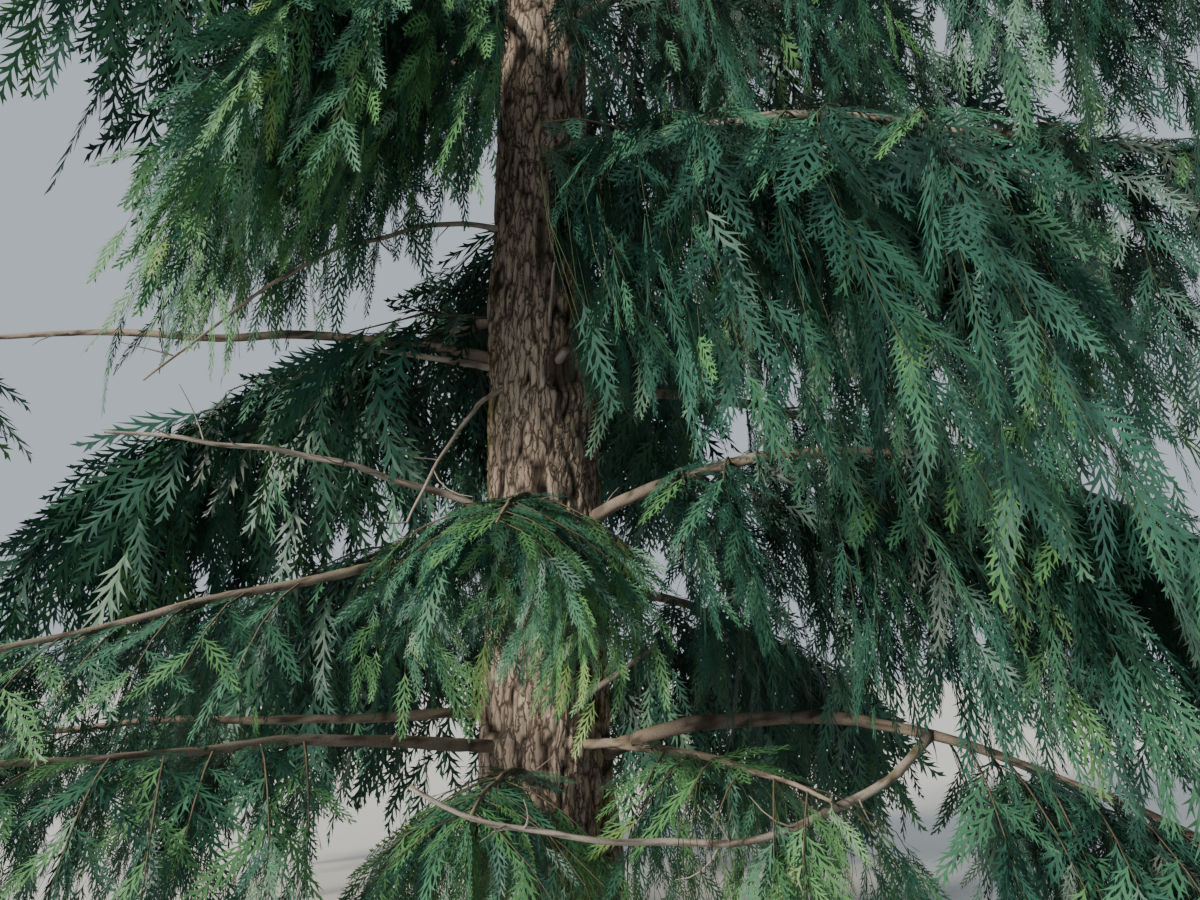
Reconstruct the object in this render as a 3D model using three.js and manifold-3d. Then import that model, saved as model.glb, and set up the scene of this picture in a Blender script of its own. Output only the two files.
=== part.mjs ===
import * as THREE from 'three';
import { mergeVertices } from 'three/addons/utils/BufferGeometryUtils.js';
import Module from 'manifold-3d';

const wasm = await Module();
wasm.setup();

// A tall red cedar: one furrowed trunk, drooping boughs and hanging flat sprays.
// Millimetres, +Z up, origin at the middle of the flat cut at ground level.
// Azimuths are degrees, 0 along +X and 90 along +Y; the front of the tree faces -Y.

const seatGap = 0.3;

// Limbs start inside the trunk at this share of its radius, and are cut back to its bark.
const rootDepth = 0.7;

const trunk = {
  height: 21300,
  footRadius: 339,
  tipRadius: 11,
  taperPower: 0.85,
  flare: 150,
  flareFade: 430,
  lobes: 6,
  lobeDepth: 40,
  lobeFade: 650,
  lobeTurn: 0.6,
  fluteDepth: 0.025,
  flutes: 5,
  fluteClimb: 1400,
  lean: 240,
  leanFade: 10000,
  sides: 18,
  rings: 15,
  ringCrowding: 1.8,
  roomSteps: 24,
};

// Broken stubs and dead sticks that are part of the trunk's own wood.
const stubs = [
  { height: 3260, azimuth: 197, length: 640, rise: 30, radius: 24, tipRadius: 11 },
  { height: 3690, azimuth: -20, length: 230, rise: 90, radius: 21, tipRadius: 15 },
  { height: 3250, azimuth: -72, length: 95, rise: 25, radius: 30, tipRadius: 20 },
  { height: 3330, azimuth: -84, length: 330, rise: 420, radius: 12, tipRadius: 7 },
  { height: 1540, azimuth: -152, length: 90, rise: -760, radius: 19, tipRadius: 12 },
  { height: 1420, azimuth: -50, length: 480, rise: 280, radius: 19, tipRadius: 10 },
];

// Live boughs. The axis runs from the trunk to the furthest twig: reach across the ground,
// rise from root to tip, sag of its middle below the straight line (negative arches up)
// and sway of its middle to the left. The wood is bare up to the share `bare`, where the
// bough ends and the stem of its foliage goes on; 0 is a bough that is leafy from the trunk on,
// and so the stem of its foliage all the way. Fan is half the foliage's width, and
// hang how far its sprays hang down.
const boughs = [
  {
    name: 'right_low', height: 1150, azimuth: -24, reach: 2750, rise: -260, sag: -330, sway: 60,
    bare: 0.62, fan: 900, hang: 620, radius: 44,
  },
  {
    name: 'right_middle', height: 2350, azimuth: -30, reach: 2900, rise: -300, sag: -420, sway: -80,
    bare: 0.13, fan: 1000, hang: 1150, radius: 36,
  },
  {
    name: 'right_dark', height: 3200, azimuth: 11, reach: 3500, rise: -640, sag: -230, sway: 90,
    bare: 0.28, fan: 1150, hang: 900, radius: 38,
  },
  {
    name: 'right_upper', height: 4500, azimuth: -24, reach: 3500, rise: -700, sag: -260, sway: 70,
    bare: 0.24, fan: 1150, hang: 1200, radius: 42,
  },
  {
    name: 'right_front', height: 4350, azimuth: -57, reach: 2500, rise: -900, sag: -180, sway: -60,
    bare: 0.15, fan: 900, hang: 1250, radius: 36,
  },
  {
    name: 'right_top', height: 5550, azimuth: -36, reach: 3300, rise: -750, sag: -240, sway: 60,
    bare: 0.22, fan: 1100, hang: 1200, radius: 40,
  },
  {
    name: 'front_upper', height: 5450, azimuth: -134, reach: 1600, rise: -800, sag: -140, sway: 60,
    bare: 0.2, fan: 800, hang: 1400, radius: 36,
  },
  {
    name: 'left_upper', height: 5150, azimuth: -160, reach: 1450, rise: -400, sag: -160, sway: -50,
    bare: 0.22, fan: 850, hang: 1500, radius: 34,
  },
  {
    name: 'left_long', height: 3340, azimuth: 174, reach: 4150, rise: 120, sag: -130, sway: 70,
    bare: 0.8, fan: 620, hang: 620, radius: 32,
  },
  {
    name: 'left_middle', height: 2270, azimuth: -153, reach: 3000, rise: -820, sag: -60, sway: 60,
    bare: 0.34, fan: 950, hang: 760, radius: 30,
  },
  {
    name: 'left_low', height: 1370, azimuth: -172, reach: 3100, rise: -170, sag: -60, sway: -50,
    bare: 0.4, fan: 900, hang: 620, radius: 28,
  },
  {
    name: 'left_front_low', height: 1210, azimuth: -140, reach: 2500, rise: 60, sag: -60, sway: 50,
    bare: 0.42, fan: 800, hang: 640, radius: 34,
  },
  {
    name: 'front_middle', height: 2420, azimuth: -98, reach: 1150, rise: -240, sag: -90, sway: 0,
    bare: 0.28, fan: 760, hang: 560, radius: 24,
  },
  {
    name: 'front_low', height: 1220, azimuth: -55, reach: 1600, rise: -100, sag: -80, sway: 0,
    bare: 0.35, fan: 760, hang: 540, radius: 27,
  },
  {
    name: 'front_foot', height: 1040, azimuth: -102, reach: 1100, rise: 20, sag: -100, sway: 0,
    bare: 0.25, fan: 880, hang: 480, radius: 26,
  },
  {
    name: 'back_left', height: 2450, azimuth: 128, reach: 3500, rise: -620, sag: -200, sway: 80,
    bare: 0.28, fan: 1300, hang: 950, radius: 42,
  },
  {
    name: 'back_right', height: 2050, azimuth: 56, reach: 3500, rise: -480, sag: -220, sway: -80,
    bare: 0.28, fan: 1300, hang: 900, radius: 42,
  },
  {
    name: 'back_left_upper', height: 3650, azimuth: 156, reach: 2900, rise: -850, sag: -200, sway: -60,
    bare: 0, fan: 1100, hang: 1000, radius: 38,
  },
  {
    name: 'back_upper', height: 4500, azimuth: 84, reach: 3500, rise: -700, sag: -240, sway: 60,
    bare: 0, fan: 1300, hang: 1150, radius: 42,
  },
];

// Dead limbs, bare to the tip. The arching one grows from the end of a live bough.
const deadLimbs = [
  {
    name: 'dead_left_middle', height: 2370, azimuth: -158, reach: 1980, rise: 300, sag: -110, sway: 60,
    radius: 23, tipRadius: 8,
  },
  {
    name: 'dead_left_arching', height: 4120, azimuth: -153, reach: 1830, rise: -1230, sag: -260, sway: 0,
    radius: 17, tipRadius: 6,
  },
  {
    name: 'dead_left_drooping', height: 3150, azimuth: -143, reach: 620, rise: -840, sag: -150, sway: 0,
    radius: 17, tipRadius: 7,
  },
];
const archingBranch = {
  name: 'dead_front_arching', carrier: 'right_low', from: 0.61, tip: [-500, -1580, 1190], sag: 340,
  sway: 140, radius: 21, tipRadius: 8,
};

// The crown above what the boughs carry: masses whose stems start on the trunk itself and
// climb it in a spiral, each `turn` further round.
const crown = {
  masses: 18,
  firstHeight: 6300,
  lastHeight: 20500,
  crowding: 0.92,
  firstTurn: 30,
  turn: 137.5,
  baseReach: 4120,
  topHeight: 22600,
  reachPower: 0.8,
  heightJitter: 250,
  azimuthJitter: 14,
  fullerSide: -15,
  lopsided: 0.3,
  reachJitter: 0.16,
  rise: -0.2,
  sag: -0.08,
  sway: 0.1,
  fan: 0.92,
  hang: 0.5,
  leastHang: 780,
  stemRadius: 0.0135,
  leaderHeight: 22000,
  leaderFan: 480,
  leaderHang: 1000,
  leaderTaper: 0.8,
};

// How many sides and steps a limb's tube has, and its tip radius as a share of its root's.
const tipShare = 0.25;
const liveForm = { sides: 6, steps: 3 };
const deadForm = { sides: 5, steps: 6 };
const stubForm = { sides: 5, steps: 2 };

// Foliage: side twigs stand along a stem by turns left and right, and sprays hang from
// both. Lengths are shares of the fan or the hang, angles degrees, the rest millimetres.
const spray = {
  stemSides: 3,
  stemSteps: 4,
  twigs: 6,
  firstTwig: 0.6,
  twigClear: 0.12,
  twigAngle: 58,
  angleJitter: 9,
  rootFan: 1.02,
  tipFan: 0.5,
  twigDroop: 0.32,
  droopJitter: 0.4,
  fanJitter: 0.15,
  twigRadius: 0.42,
  leastRadius: 3,
  twigTaper: 0.6,
  twigPlaces: [0.93, 0.48],
  stemPlaces: [0.98, 0.68, 0.38],
  width: 0.5,
  room: 0.19,
  thickness: 0.03,
  tries: [1, 0.78, 0.6],
  lengthJitter: 0.18,
  leastHeight: 180,
  outward: 0.24,
  outwardJitter: 0.6,
  swing: 0.35,
  turn: 50,
  sunk: 0.3,
  clearance: 14,
  roundStem: 137.5,
  spineDrop: 0.4,
  spineSteps: 3,
};

// A mass's seed is its number, and goes up by `step` until no edge is shorter than leastEdge.
const seeds = { most: 60, step: 100, leastEdge: 0.01, crown: 40 };

// One flat spray seen from its face: a pointed blade with two teeth on each side.
const sprayOutline = [
  [0.5, -0.25],
  [0.72, -0.42],
  [1, 0],
  [0.74, 0.4],
  [0.52, 0.24],
  [0.34, 0.5],
  [0, 0],
  [0.32, -0.5],
];

const barkMaterial = { color: '#6f5c4b', roughness: 0.95, metalness: 0 };
const boughMaterial = { color: '#77685a', roughness: 0.93, metalness: 0 };
const deadMaterial = { color: '#8d867b', roughness: 0.95, metalness: 0 };
const foliageMaterial = { color: '#4a6133', roughness: 0.7, metalness: 0 };

const up = new THREE.Vector3(0, 0, 1);
const radians = THREE.MathUtils.degToRad;

function dice(seed) {
  let state = seed * 2654435761 + 97;
  return () => {
    state = (state + 0x6d2b79f5) | 0;
    let mixed = Math.imul(state ^ (state >>> 15), 1 | state);
    mixed = (mixed + Math.imul(mixed ^ (mixed >>> 7), 61 | mixed)) ^ mixed;
    return ((mixed ^ (mixed >>> 14)) >>> 0) / 4294967296;
  };
}

// Trunk form

function trunkAxis(z) {
  return new THREE.Vector3(-trunk.lean * (1 - Math.exp(-z / trunk.leanFade)), 0, z);
}

function trunkRadius(z) {
  const left = Math.max(0, 1 - z / trunk.height);
  const stem = (trunk.footRadius - trunk.tipRadius) * left ** trunk.taperPower + trunk.tipRadius;
  return stem + trunk.flare * Math.exp(-z / trunk.flareFade);
}

function trunkSkin(z, angle) {
  const flutes = 1 + trunk.fluteDepth * Math.cos(trunk.flutes * angle + z / trunk.fluteClimb);
  const lobes = Math.exp(-z / trunk.lobeFade) * Math.cos(trunk.lobes * angle + trunk.lobeTurn);
  return trunkRadius(z) * flutes + trunk.lobeDepth * lobes;
}

// Solids

function solid(geometry) {
  geometry.deleteAttribute('normal');
  geometry.deleteAttribute('uv');
  const merged = mergeVertices(geometry, 1e-3);
  const mesh = new wasm.Mesh({
    numProp: 3,
    vertProperties: new Float32Array(merged.attributes.position.array),
    triVerts: new Uint32Array(merged.index.array),
  });
  return new wasm.Manifold(mesh);
}

function trunkSolid(grow) {
  const geometry = new THREE.CylinderGeometry(1, 1, 1, trunk.sides, trunk.rings);
  const place = geometry.attributes.position;
  for (let i = 0; i < place.count; i += 1) {
    const z = trunk.height * (place.getY(i) + 0.5) ** trunk.ringCrowding;
    const angle = Math.atan2(-place.getZ(i), place.getX(i));
    const onRim = Math.hypot(place.getX(i), place.getZ(i)) > 0.5;
    const radius = onRim ? trunkSkin(z, angle) + grow : 0;
    const axis = trunkAxis(z);
    place.setXYZ(i, axis.x + radius * Math.cos(angle), axis.y + radius * Math.sin(angle), z);
  }
  return solid(geometry);
}

// A tapering tube: pointAt and radiusAt give its axis and radius for t from 0 to 1.
function tube(pointAt, radiusAt, sides, steps) {
  const geometry = new THREE.CylinderGeometry(1, 1, 1, sides, steps);
  const place = geometry.attributes.position;
  for (let i = 0; i < place.count; i += 1) {
    const t = place.getY(i) + 0.5;
    const reach = Math.hypot(place.getX(i), place.getZ(i));
    const tangent = pointAt(t + 0.01).sub(pointAt(t - 0.01)).normalize();
    const across = new THREE.Vector3().crossVectors(tangent, up);
    if (across.length() < 0.05) {
      across.set(1, 0, 0);
    }
    across.normalize();
    const normal = new THREE.Vector3().crossVectors(across, tangent);
    const point = pointAt(t);
    if (reach > 1e-6) {
      point.addScaledVector(across, (radiusAt(t) * place.getX(i)) / reach);
      point.addScaledVector(normal, (radiusAt(t) * place.getZ(i)) / reach);
    }
    place.setXYZ(i, point.x, point.y, point.z);
  }
  return solid(geometry);
}

// The outline as a blade that is thickest at its middle.
function sprayBlade(root, along, across, length) {
  const geometry = new THREE.SphereGeometry(1, sprayOutline.length, 2);
  const normal = new THREE.Vector3().crossVectors(along, across);
  const place = geometry.attributes.position;
  const half = (spray.thickness * length) / 2;
  for (let i = 0; i < place.count; i += 1) {
    const height = place.getY(i);
    const point = root.clone();
    if (Math.abs(height) > 0.5) {
      point.addScaledVector(along, length / 2).addScaledVector(normal, half * Math.sign(height));
    } else {
      const angle = Math.atan2(place.getZ(i), -place.getX(i)) / (2 * Math.PI);
      const tooth = Math.round((angle + 1) * sprayOutline.length) % sprayOutline.length;
      point.addScaledVector(along, sprayOutline[tooth][0] * length);
      point.addScaledVector(across, sprayOutline[tooth][1] * spray.width * length);
    }
    place.setXYZ(i, point.x, point.y, point.z);
  }
  return solid(geometry);
}

// Fuses the pieces; a sealed hollow is filled and a loose scrap dropped.
function fuse(pieces) {
  const parts = wasm.Manifold.union(pieces).simplify(0.5).decompose();
  return parts.reduce((best, part) => (part.volume() > best.volume() ? part : best));
}

function shortestEdge(body) {
  const { vertProperties, triVerts } = body.getMesh();
  const corner = (k) => new THREE.Vector3().fromArray(vertProperties, triVerts[k] * 3);
  let least = Infinity;
  for (let i = 0; i < triVerts.length; i += 3) {
    for (let k = 0; k < 3; k += 1) {
      least = Math.min(least, corner(i + k).distanceTo(corner(i + ((k + 1) % 3))));
    }
  }
  return least;
}

// Clearance: every limb, twig and spray is kept as a segment with its reach.

const taken = [];

function segmentGap(a, b, c, d) {
  const u = b.clone().sub(a);
  const v = d.clone().sub(c);
  const w = a.clone().sub(c);
  const uu = u.dot(u);
  const vv = v.dot(v);
  const uv = u.dot(v);
  const uw = u.dot(w);
  const vw = v.dot(w);
  const span = uu * vv - uv * uv;
  const clamp = THREE.MathUtils.clamp;
  let s = span > 1e-9 ? clamp((uv * vw - vv * uw) / span, 0, 1) : 0;
  const t = clamp((uv * s + vw) / Math.max(vv, 1e-9), 0, 1);
  s = clamp((uv * t - uw) / Math.max(uu, 1e-9), 0, 1);
  return w.addScaledVector(u, s).addScaledVector(v, -t).length();
}

function take(owner, from, to, reach) {
  const middle = from.clone().lerp(to, 0.5);
  const piece = { owner, from, to, reach, middle, half: from.distanceTo(to) / 2 };
  taken.push(piece);
  return piece;
}

// A piece may touch the one that it grows from, and only that.
function isFree(owner, from, to, reach, parents) {
  const middle = from.clone().lerp(to, 0.5);
  const half = from.distanceTo(to) / 2;
  return !taken.some((other) => {
    const kin = other.owner === owner;
    if (kin && parents.includes(other)) {
      return false;
    }
    const room = reach + other.reach + (kin ? 0 : spray.clearance);
    if (middle.distanceTo(other.middle) > half + other.half + room) {
      return false;
    }
    return segmentGap(from, to, other.from, other.to) < room;
  });
}

function takePath(owner, pointAt, reachAt, steps) {
  const pieces = [];
  for (let i = 0; i < steps; i += 1) {
    pieces.push(take(owner, pointAt(i / steps), pointAt((i + 1) / steps), reachAt(i / steps)));
  }
  return pieces;
}

// Limbs

// A bowed line: its middle hangs `sag` below the straight one and stands `sway` left of it.
function bowedLine(from, to, sag, sway) {
  const ahead = to.clone().sub(from).setZ(0).normalize();
  const left = new THREE.Vector3(-ahead.y, ahead.x, 0);
  return (t) => {
    const bow = 4 * t * (1 - t);
    return from.clone().lerp(to, t).addScaledVector(left, sway * bow).addScaledVector(up, -sag * bow);
  };
}

function limbAxis(limb) {
  const azimuth = radians(limb.azimuth);
  const out = new THREE.Vector3(Math.cos(azimuth), Math.sin(azimuth), 0);
  const root = trunkAxis(limb.height).addScaledVector(out, trunkRadius(limb.height) * rootDepth);
  const tip = root.clone().addScaledVector(out, limb.reach).addScaledVector(up, limb.rise);
  return bowedLine(root, tip, limb.sag, limb.sway);
}

function limbRadius(limb) {
  const tip = limb.tipRadius ?? limb.radius * tipShare;
  return (t) => limb.radius + (tip - limb.radius) * THREE.MathUtils.clamp(t, 0, 1);
}

function part(pointAt, from, to) {
  return (t) => pointAt(from + (to - from) * t);
}

// The same path in straight steps, as its tube has it, so that what is set on it meets it.
function inSteps(pointAt, steps) {
  return (t) => {
    const step = THREE.MathUtils.clamp(Math.floor(t * steps), 0, steps - 1);
    return pointAt(step / steps).lerp(pointAt((step + 1) / steps), t * steps - step);
  };
}

const trunkBody = trunkSolid(0);
const trunkRoom = trunkSolid(seatGap);
const roomStep = trunk.height / trunk.roomSteps;
for (let low = 0; low < trunk.height; low += roomStep) {
  take('trunk', trunkAxis(low), trunkAxis(low + roomStep), trunkRadius(low));
}

function stubPiece(stub) {
  const inTrunk = trunkRadius(stub.height) * (1 - rootDepth);
  const limb = { ...stub, reach: stub.length + inTrunk, sag: 0, sway: 0 };
  const pointAt = limbAxis(limb);
  takePath('trunk', pointAt, limbRadius(limb), stubForm.steps);
  return tube(pointAt, limbRadius(limb), stubForm.sides, stubForm.steps);
}

// A limb's wood from inside what carries it, cut back to stand off that by the seat gap.
function limbWood(name, pointAt, radiusAt, form, carrierRoom) {
  takePath(name, pointAt, radiusAt, form.steps);
  return fuse([tube(pointAt, radiusAt, form.sides, form.steps).subtract(carrierRoom)]);
}

// Foliage

// A mass keeps to the places that are nearer to its own spine than to another's. The
// spine is its stem, lowered to the middle of what hangs from it.
const spines = [];

function addSpine(owner, stemAt, hang) {
  const spineAt = (step) => stemAt(step / spray.spineSteps).addScaledVector(up, -hang * spray.spineDrop);
  for (let step = 0; step < spray.spineSteps; step += 1) {
    spines.push({ owner, from: spineAt(step), to: spineAt(step + 1) });
  }
}

function ownPlace(owner, point) {
  let nearest = null;
  let least = Infinity;
  for (const spine of spines) {
    const gap = segmentGap(point, point, spine.from, spine.to);
    if (gap < least) {
      least = gap;
      nearest = spine.owner;
    }
  }
  return nearest === owner;
}

function tangentOf(pointAt, t) {
  return pointAt(t + 0.01).sub(pointAt(t - 0.01)).normalize();
}

// Where a side twig leaves the stem; round an upright stem the twigs turn by a fixed angle.
function sideOf(tangent, count) {
  const side = new THREE.Vector3().crossVectors(tangent, up);
  if (side.length() < 0.1) {
    side.set(1, 0, 0).applyAxisAngle(up, radians(spray.roundStem * count));
  }
  return side.normalize().multiplyScalar(count % 2 ? 1 : -1);
}

function foliage(mass, seed) {
  const random = dice(seed);
  const jitter = (width) => (random() * 2 - 1) * width;
  const { name, stemRadiusAt, stemPieces, fan, hang } = mass;
  const stemAt = inSteps(mass.stemAt, spray.stemSteps);
  const pieces = [tube(mass.stemAt, stemRadiusAt, spray.stemSides, spray.stemSteps)];
  const middle = trunkAxis(stemAt(0).z);

  function hangSpray(at, along, thick, parents) {
    const outward = at.clone().sub(middle).setZ(0).normalize();
    const lean = spray.outward * (1 + jitter(spray.outwardJitter));
    const down = outward.clone().multiplyScalar(lean).sub(up);
    down.addScaledVector(along, jitter(spray.swing)).normalize();
    const across = along.clone().addScaledVector(down, -along.dot(down)).normalize();
    across.applyAxisAngle(down, radians(jitter(spray.turn)));
    const full = hang * (1 + jitter(spray.lengthJitter));
    const tipAt = (length) => at.clone().addScaledVector(down, length);
    const length = spray.tries.map((size) => size * full).find((tried) => {
      const tip = tipAt(tried);
      const inside = tip.z > spray.leastHeight && ownPlace(name, tip);
      return inside && isFree(name, at, tip, spray.room * tried, parents);
    });
    if (length) {
      take(name, at, tipAt(length), spray.room * length);
      pieces.push(sprayBlade(tipAt(-spray.sunk * thick), down, across, length));
    }
  }

  function growTwig(count) {
    const share = (count + spray.firstTwig) / spray.twigs;
    const root = stemAt(share);
    const tangent = tangentOf(stemAt, share);
    const angle = radians(spray.twigAngle + jitter(spray.angleJitter));
    const along = tangent.multiplyScalar(Math.cos(angle));
    along.addScaledVector(sideOf(tangentOf(stemAt, share), count), Math.sin(angle));
    along.addScaledVector(up, -spray.twigDroop * (1 + jitter(spray.droopJitter))).normalize();
    const spread = THREE.MathUtils.lerp(spray.rootFan, spray.tipFan, share);
    const full = fan * spread * (1 + jitter(spray.fanJitter));
    const thick = stemRadiusAt(share) * spray.twigRadius + spray.leastRadius;
    const pointOf = (length) => (t) => root.clone().addScaledVector(along, length * t);
    const length = spray.tries.map((size) => size * full).find((tried) => {
      const tip = pointOf(tried)(1);
      return ownPlace(name, tip) && isFree(name, pointOf(tried)(spray.twigClear), tip, thick, stemPieces);
    });
    if (!length) {
      return;
    }
    const radiusAt = (t) => thick * (1 - spray.twigTaper * t);
    const twigPieces = takePath(name, pointOf(length), () => thick, 1);
    pieces.push(tube(pointOf(length), radiusAt, spray.stemSides, 1));
    for (const place of spray.twigPlaces) {
      hangSpray(pointOf(length)(place), along, radiusAt(place), twigPieces);
    }
  }

  for (let count = 0; count < spray.twigs; count += 1) {
    growTwig(count);
  }
  for (const place of spray.stemPlaces) {
    hangSpray(stemAt(place), tangentOf(stemAt, place), stemRadiusAt(place), stemPieces);
  }
  return pieces;
}

// Assembly

const tree = new THREE.Group();
tree.name = 'cedar_tree';

function addNode(name, body, material) {
  const data = body.getMesh();
  const geometry = new THREE.BufferGeometry();
  geometry.setAttribute('position', new THREE.BufferAttribute(data.vertProperties, 3));
  geometry.setIndex(new THREE.BufferAttribute(data.triVerts, 1));
  geometry.computeVertexNormals();
  const mesh = new THREE.Mesh(geometry, new THREE.MeshStandardMaterial(material));
  mesh.name = name;
  mesh.material.name = name;
  tree.add(mesh);
}

addNode('trunk', fuse([trunkBody, ...stubs.map(stubPiece)]), barkMaterial);

for (const limb of boughs.filter(({ bare }) => bare > 0)) {
  const pointAt = part(limbAxis(limb), 0, limb.bare);
  const radiusAt = part(limbRadius(limb), 0, limb.bare);
  const name = `${limb.name}_bough`;
  addNode(name, limbWood(name, pointAt, radiusAt, liveForm, trunkRoom), boughMaterial);
}
for (const limb of deadLimbs) {
  const body = limbWood(limb.name, limbAxis(limb), limbRadius(limb), deadForm, trunkRoom);
  addNode(limb.name, body, deadMaterial);
}

function archingWood(branch) {
  const carrier = boughs.find((limb) => limb.name === branch.carrier);
  const carrierAt = part(limbAxis(carrier), 0, carrier.bare);
  const roomAt = (t) => limbRadius(carrier)(carrier.bare * t) + seatGap;
  const room = tube(carrierAt, roomAt, liveForm.sides, liveForm.steps);
  const root = limbAxis(carrier)(branch.from);
  const pointAt = bowedLine(root, new THREE.Vector3(...branch.tip), branch.sag, branch.sway);
  return limbWood(branch.name, pointAt, limbRadius(branch), deadForm, room);
}
addNode(archingBranch.name, archingWood(archingBranch), deadMaterial);

// The foliage of each bough goes on from the bough's end, or from the trunk where none is bare.
function boughMass(limb) {
  const onTrunk = limb.bare === 0;
  const start = onTrunk ? 0 : limb.bare + seatGap / limb.reach;
  return {
    name: `${limb.name}_foliage`,
    stemAt: part(limbAxis(limb), start, 1),
    stemRadiusAt: part(limbRadius(limb), start, 1),
    fan: limb.fan,
    hang: limb.hang,
    onTrunk,
  };
}

function crownReach(height, azimuth) {
  const side = 1 + crown.lopsided * Math.cos(radians(azimuth - crown.fullerSide));
  return crown.baseReach * side * (1 - height / crown.topHeight) ** crown.reachPower;
}

function crownMass(count) {
  const random = dice(seeds.crown + count);
  const climb = (count / (crown.masses - 1)) ** crown.crowding;
  const middle = THREE.MathUtils.lerp(crown.firstHeight, crown.lastHeight, climb);
  const height = middle + (random() - 0.5) * crown.heightJitter;
  const azimuth = crown.firstTurn + crown.turn * count + (random() - 0.5) * crown.azimuthJitter;
  const reach = crownReach(height, azimuth) * (1 + (random() - 0.5) * crown.reachJitter);
  const limb = {
    height,
    azimuth,
    reach,
    rise: crown.rise * reach,
    sag: crown.sag * reach,
    sway: (random() - 0.5) * crown.sway * reach,
    radius: reach * crown.stemRadius,
  };
  return {
    name: `crown_${String(count + 1).padStart(2, '0')}_foliage`,
    stemAt: limbAxis(limb),
    stemRadiusAt: limbRadius(limb),
    fan: crown.fan * reach,
    hang: crown.hang * reach + crown.leastHang,
    onTrunk: true,
  };
}

// The leader goes on from the trunk's tip.
function leaderMass() {
  const foot = trunkAxis(trunk.height + seatGap);
  const tip = trunkAxis(crown.leaderHeight);
  return {
    name: 'leader_foliage',
    stemAt: (t) => foot.clone().lerp(tip, t),
    stemRadiusAt: (t) => trunk.tipRadius * (1 - crown.leaderTaper * t),
    fan: crown.leaderFan,
    hang: crown.leaderHang,
  };
}

const masses = boughs.map(boughMass);
for (let count = 0; count < crown.masses; count += 1) {
  masses.push(crownMass(count));
}
masses.push(leaderMass());
for (const mass of masses) {
  addSpine(mass.name, mass.stemAt, mass.hang);
  mass.stemPieces = takePath(mass.name, mass.stemAt, mass.stemRadiusAt, spray.stemSteps);
}

// Two points nearly on each other would spoil the solid, so such a mass grows again
// from another seed, in the room that it left.
function grow(mass, number) {
  const before = taken.length;
  for (let turn = 0; turn < seeds.most; turn += 1) {
    taken.length = before;
    const body = fuse(foliage(mass, number + turn * seeds.step));
    const clear = mass.onTrunk ? fuse([body.subtract(trunkRoom)]) : body;
    if (shortestEdge(clear) > seeds.leastEdge) {
      return clear;
    }
  }
  throw new Error(`${mass.name} found no clean seed`);
}

masses.forEach((mass, i) => addNode(mass.name, grow(mass, i + 1), foliageMaterial));

let faces = 0;
tree.traverse((node) => {
  if (node.isMesh) {
    faces += node.geometry.index.count / 3;
  }
});
console.log(`nodes ${tree.children.length}, triangles ${faces}`);

export default tree;
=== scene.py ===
import math
import bpy
import numpy as np
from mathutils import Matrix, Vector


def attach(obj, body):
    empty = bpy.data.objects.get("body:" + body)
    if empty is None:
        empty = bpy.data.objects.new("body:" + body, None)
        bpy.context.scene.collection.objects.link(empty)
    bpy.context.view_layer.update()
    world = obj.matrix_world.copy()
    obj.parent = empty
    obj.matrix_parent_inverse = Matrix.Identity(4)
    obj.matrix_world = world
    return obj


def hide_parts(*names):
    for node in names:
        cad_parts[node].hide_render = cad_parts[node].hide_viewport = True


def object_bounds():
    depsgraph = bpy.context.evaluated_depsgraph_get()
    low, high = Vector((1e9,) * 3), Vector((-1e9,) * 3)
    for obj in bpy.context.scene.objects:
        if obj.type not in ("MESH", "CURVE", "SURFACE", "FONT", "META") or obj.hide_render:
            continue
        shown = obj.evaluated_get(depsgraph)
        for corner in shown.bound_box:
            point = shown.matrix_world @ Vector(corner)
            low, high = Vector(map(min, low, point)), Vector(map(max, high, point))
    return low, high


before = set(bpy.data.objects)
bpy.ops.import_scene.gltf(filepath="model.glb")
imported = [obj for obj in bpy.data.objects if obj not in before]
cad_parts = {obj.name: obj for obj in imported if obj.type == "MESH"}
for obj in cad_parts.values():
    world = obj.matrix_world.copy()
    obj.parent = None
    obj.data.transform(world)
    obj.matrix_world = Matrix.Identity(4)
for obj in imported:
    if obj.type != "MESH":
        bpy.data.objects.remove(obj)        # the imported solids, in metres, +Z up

cadLow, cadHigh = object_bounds()
up = np.array([0.0, 0.0, 1.0])

# Everything is in metres and grows by the same rule as the solids: trunk, boughs, side twigs
# left and right of each bough, and sprays that hang from both.

trunk = {
    "height": 21.3, "footRadius": 0.339, "tipRadius": 0.011, "taperPower": 0.85,
    "flare": 0.15, "flareFade": 0.43, "lobes": 6, "lobeDepth": 0.04, "lobeFade": 0.65, "lobeTurn": 0.6,
    "fluteDepth": 0.025, "flutes": 5, "fluteClimb": 1.4, "lean": 0.24, "leanFade": 10.0,
}

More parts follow.
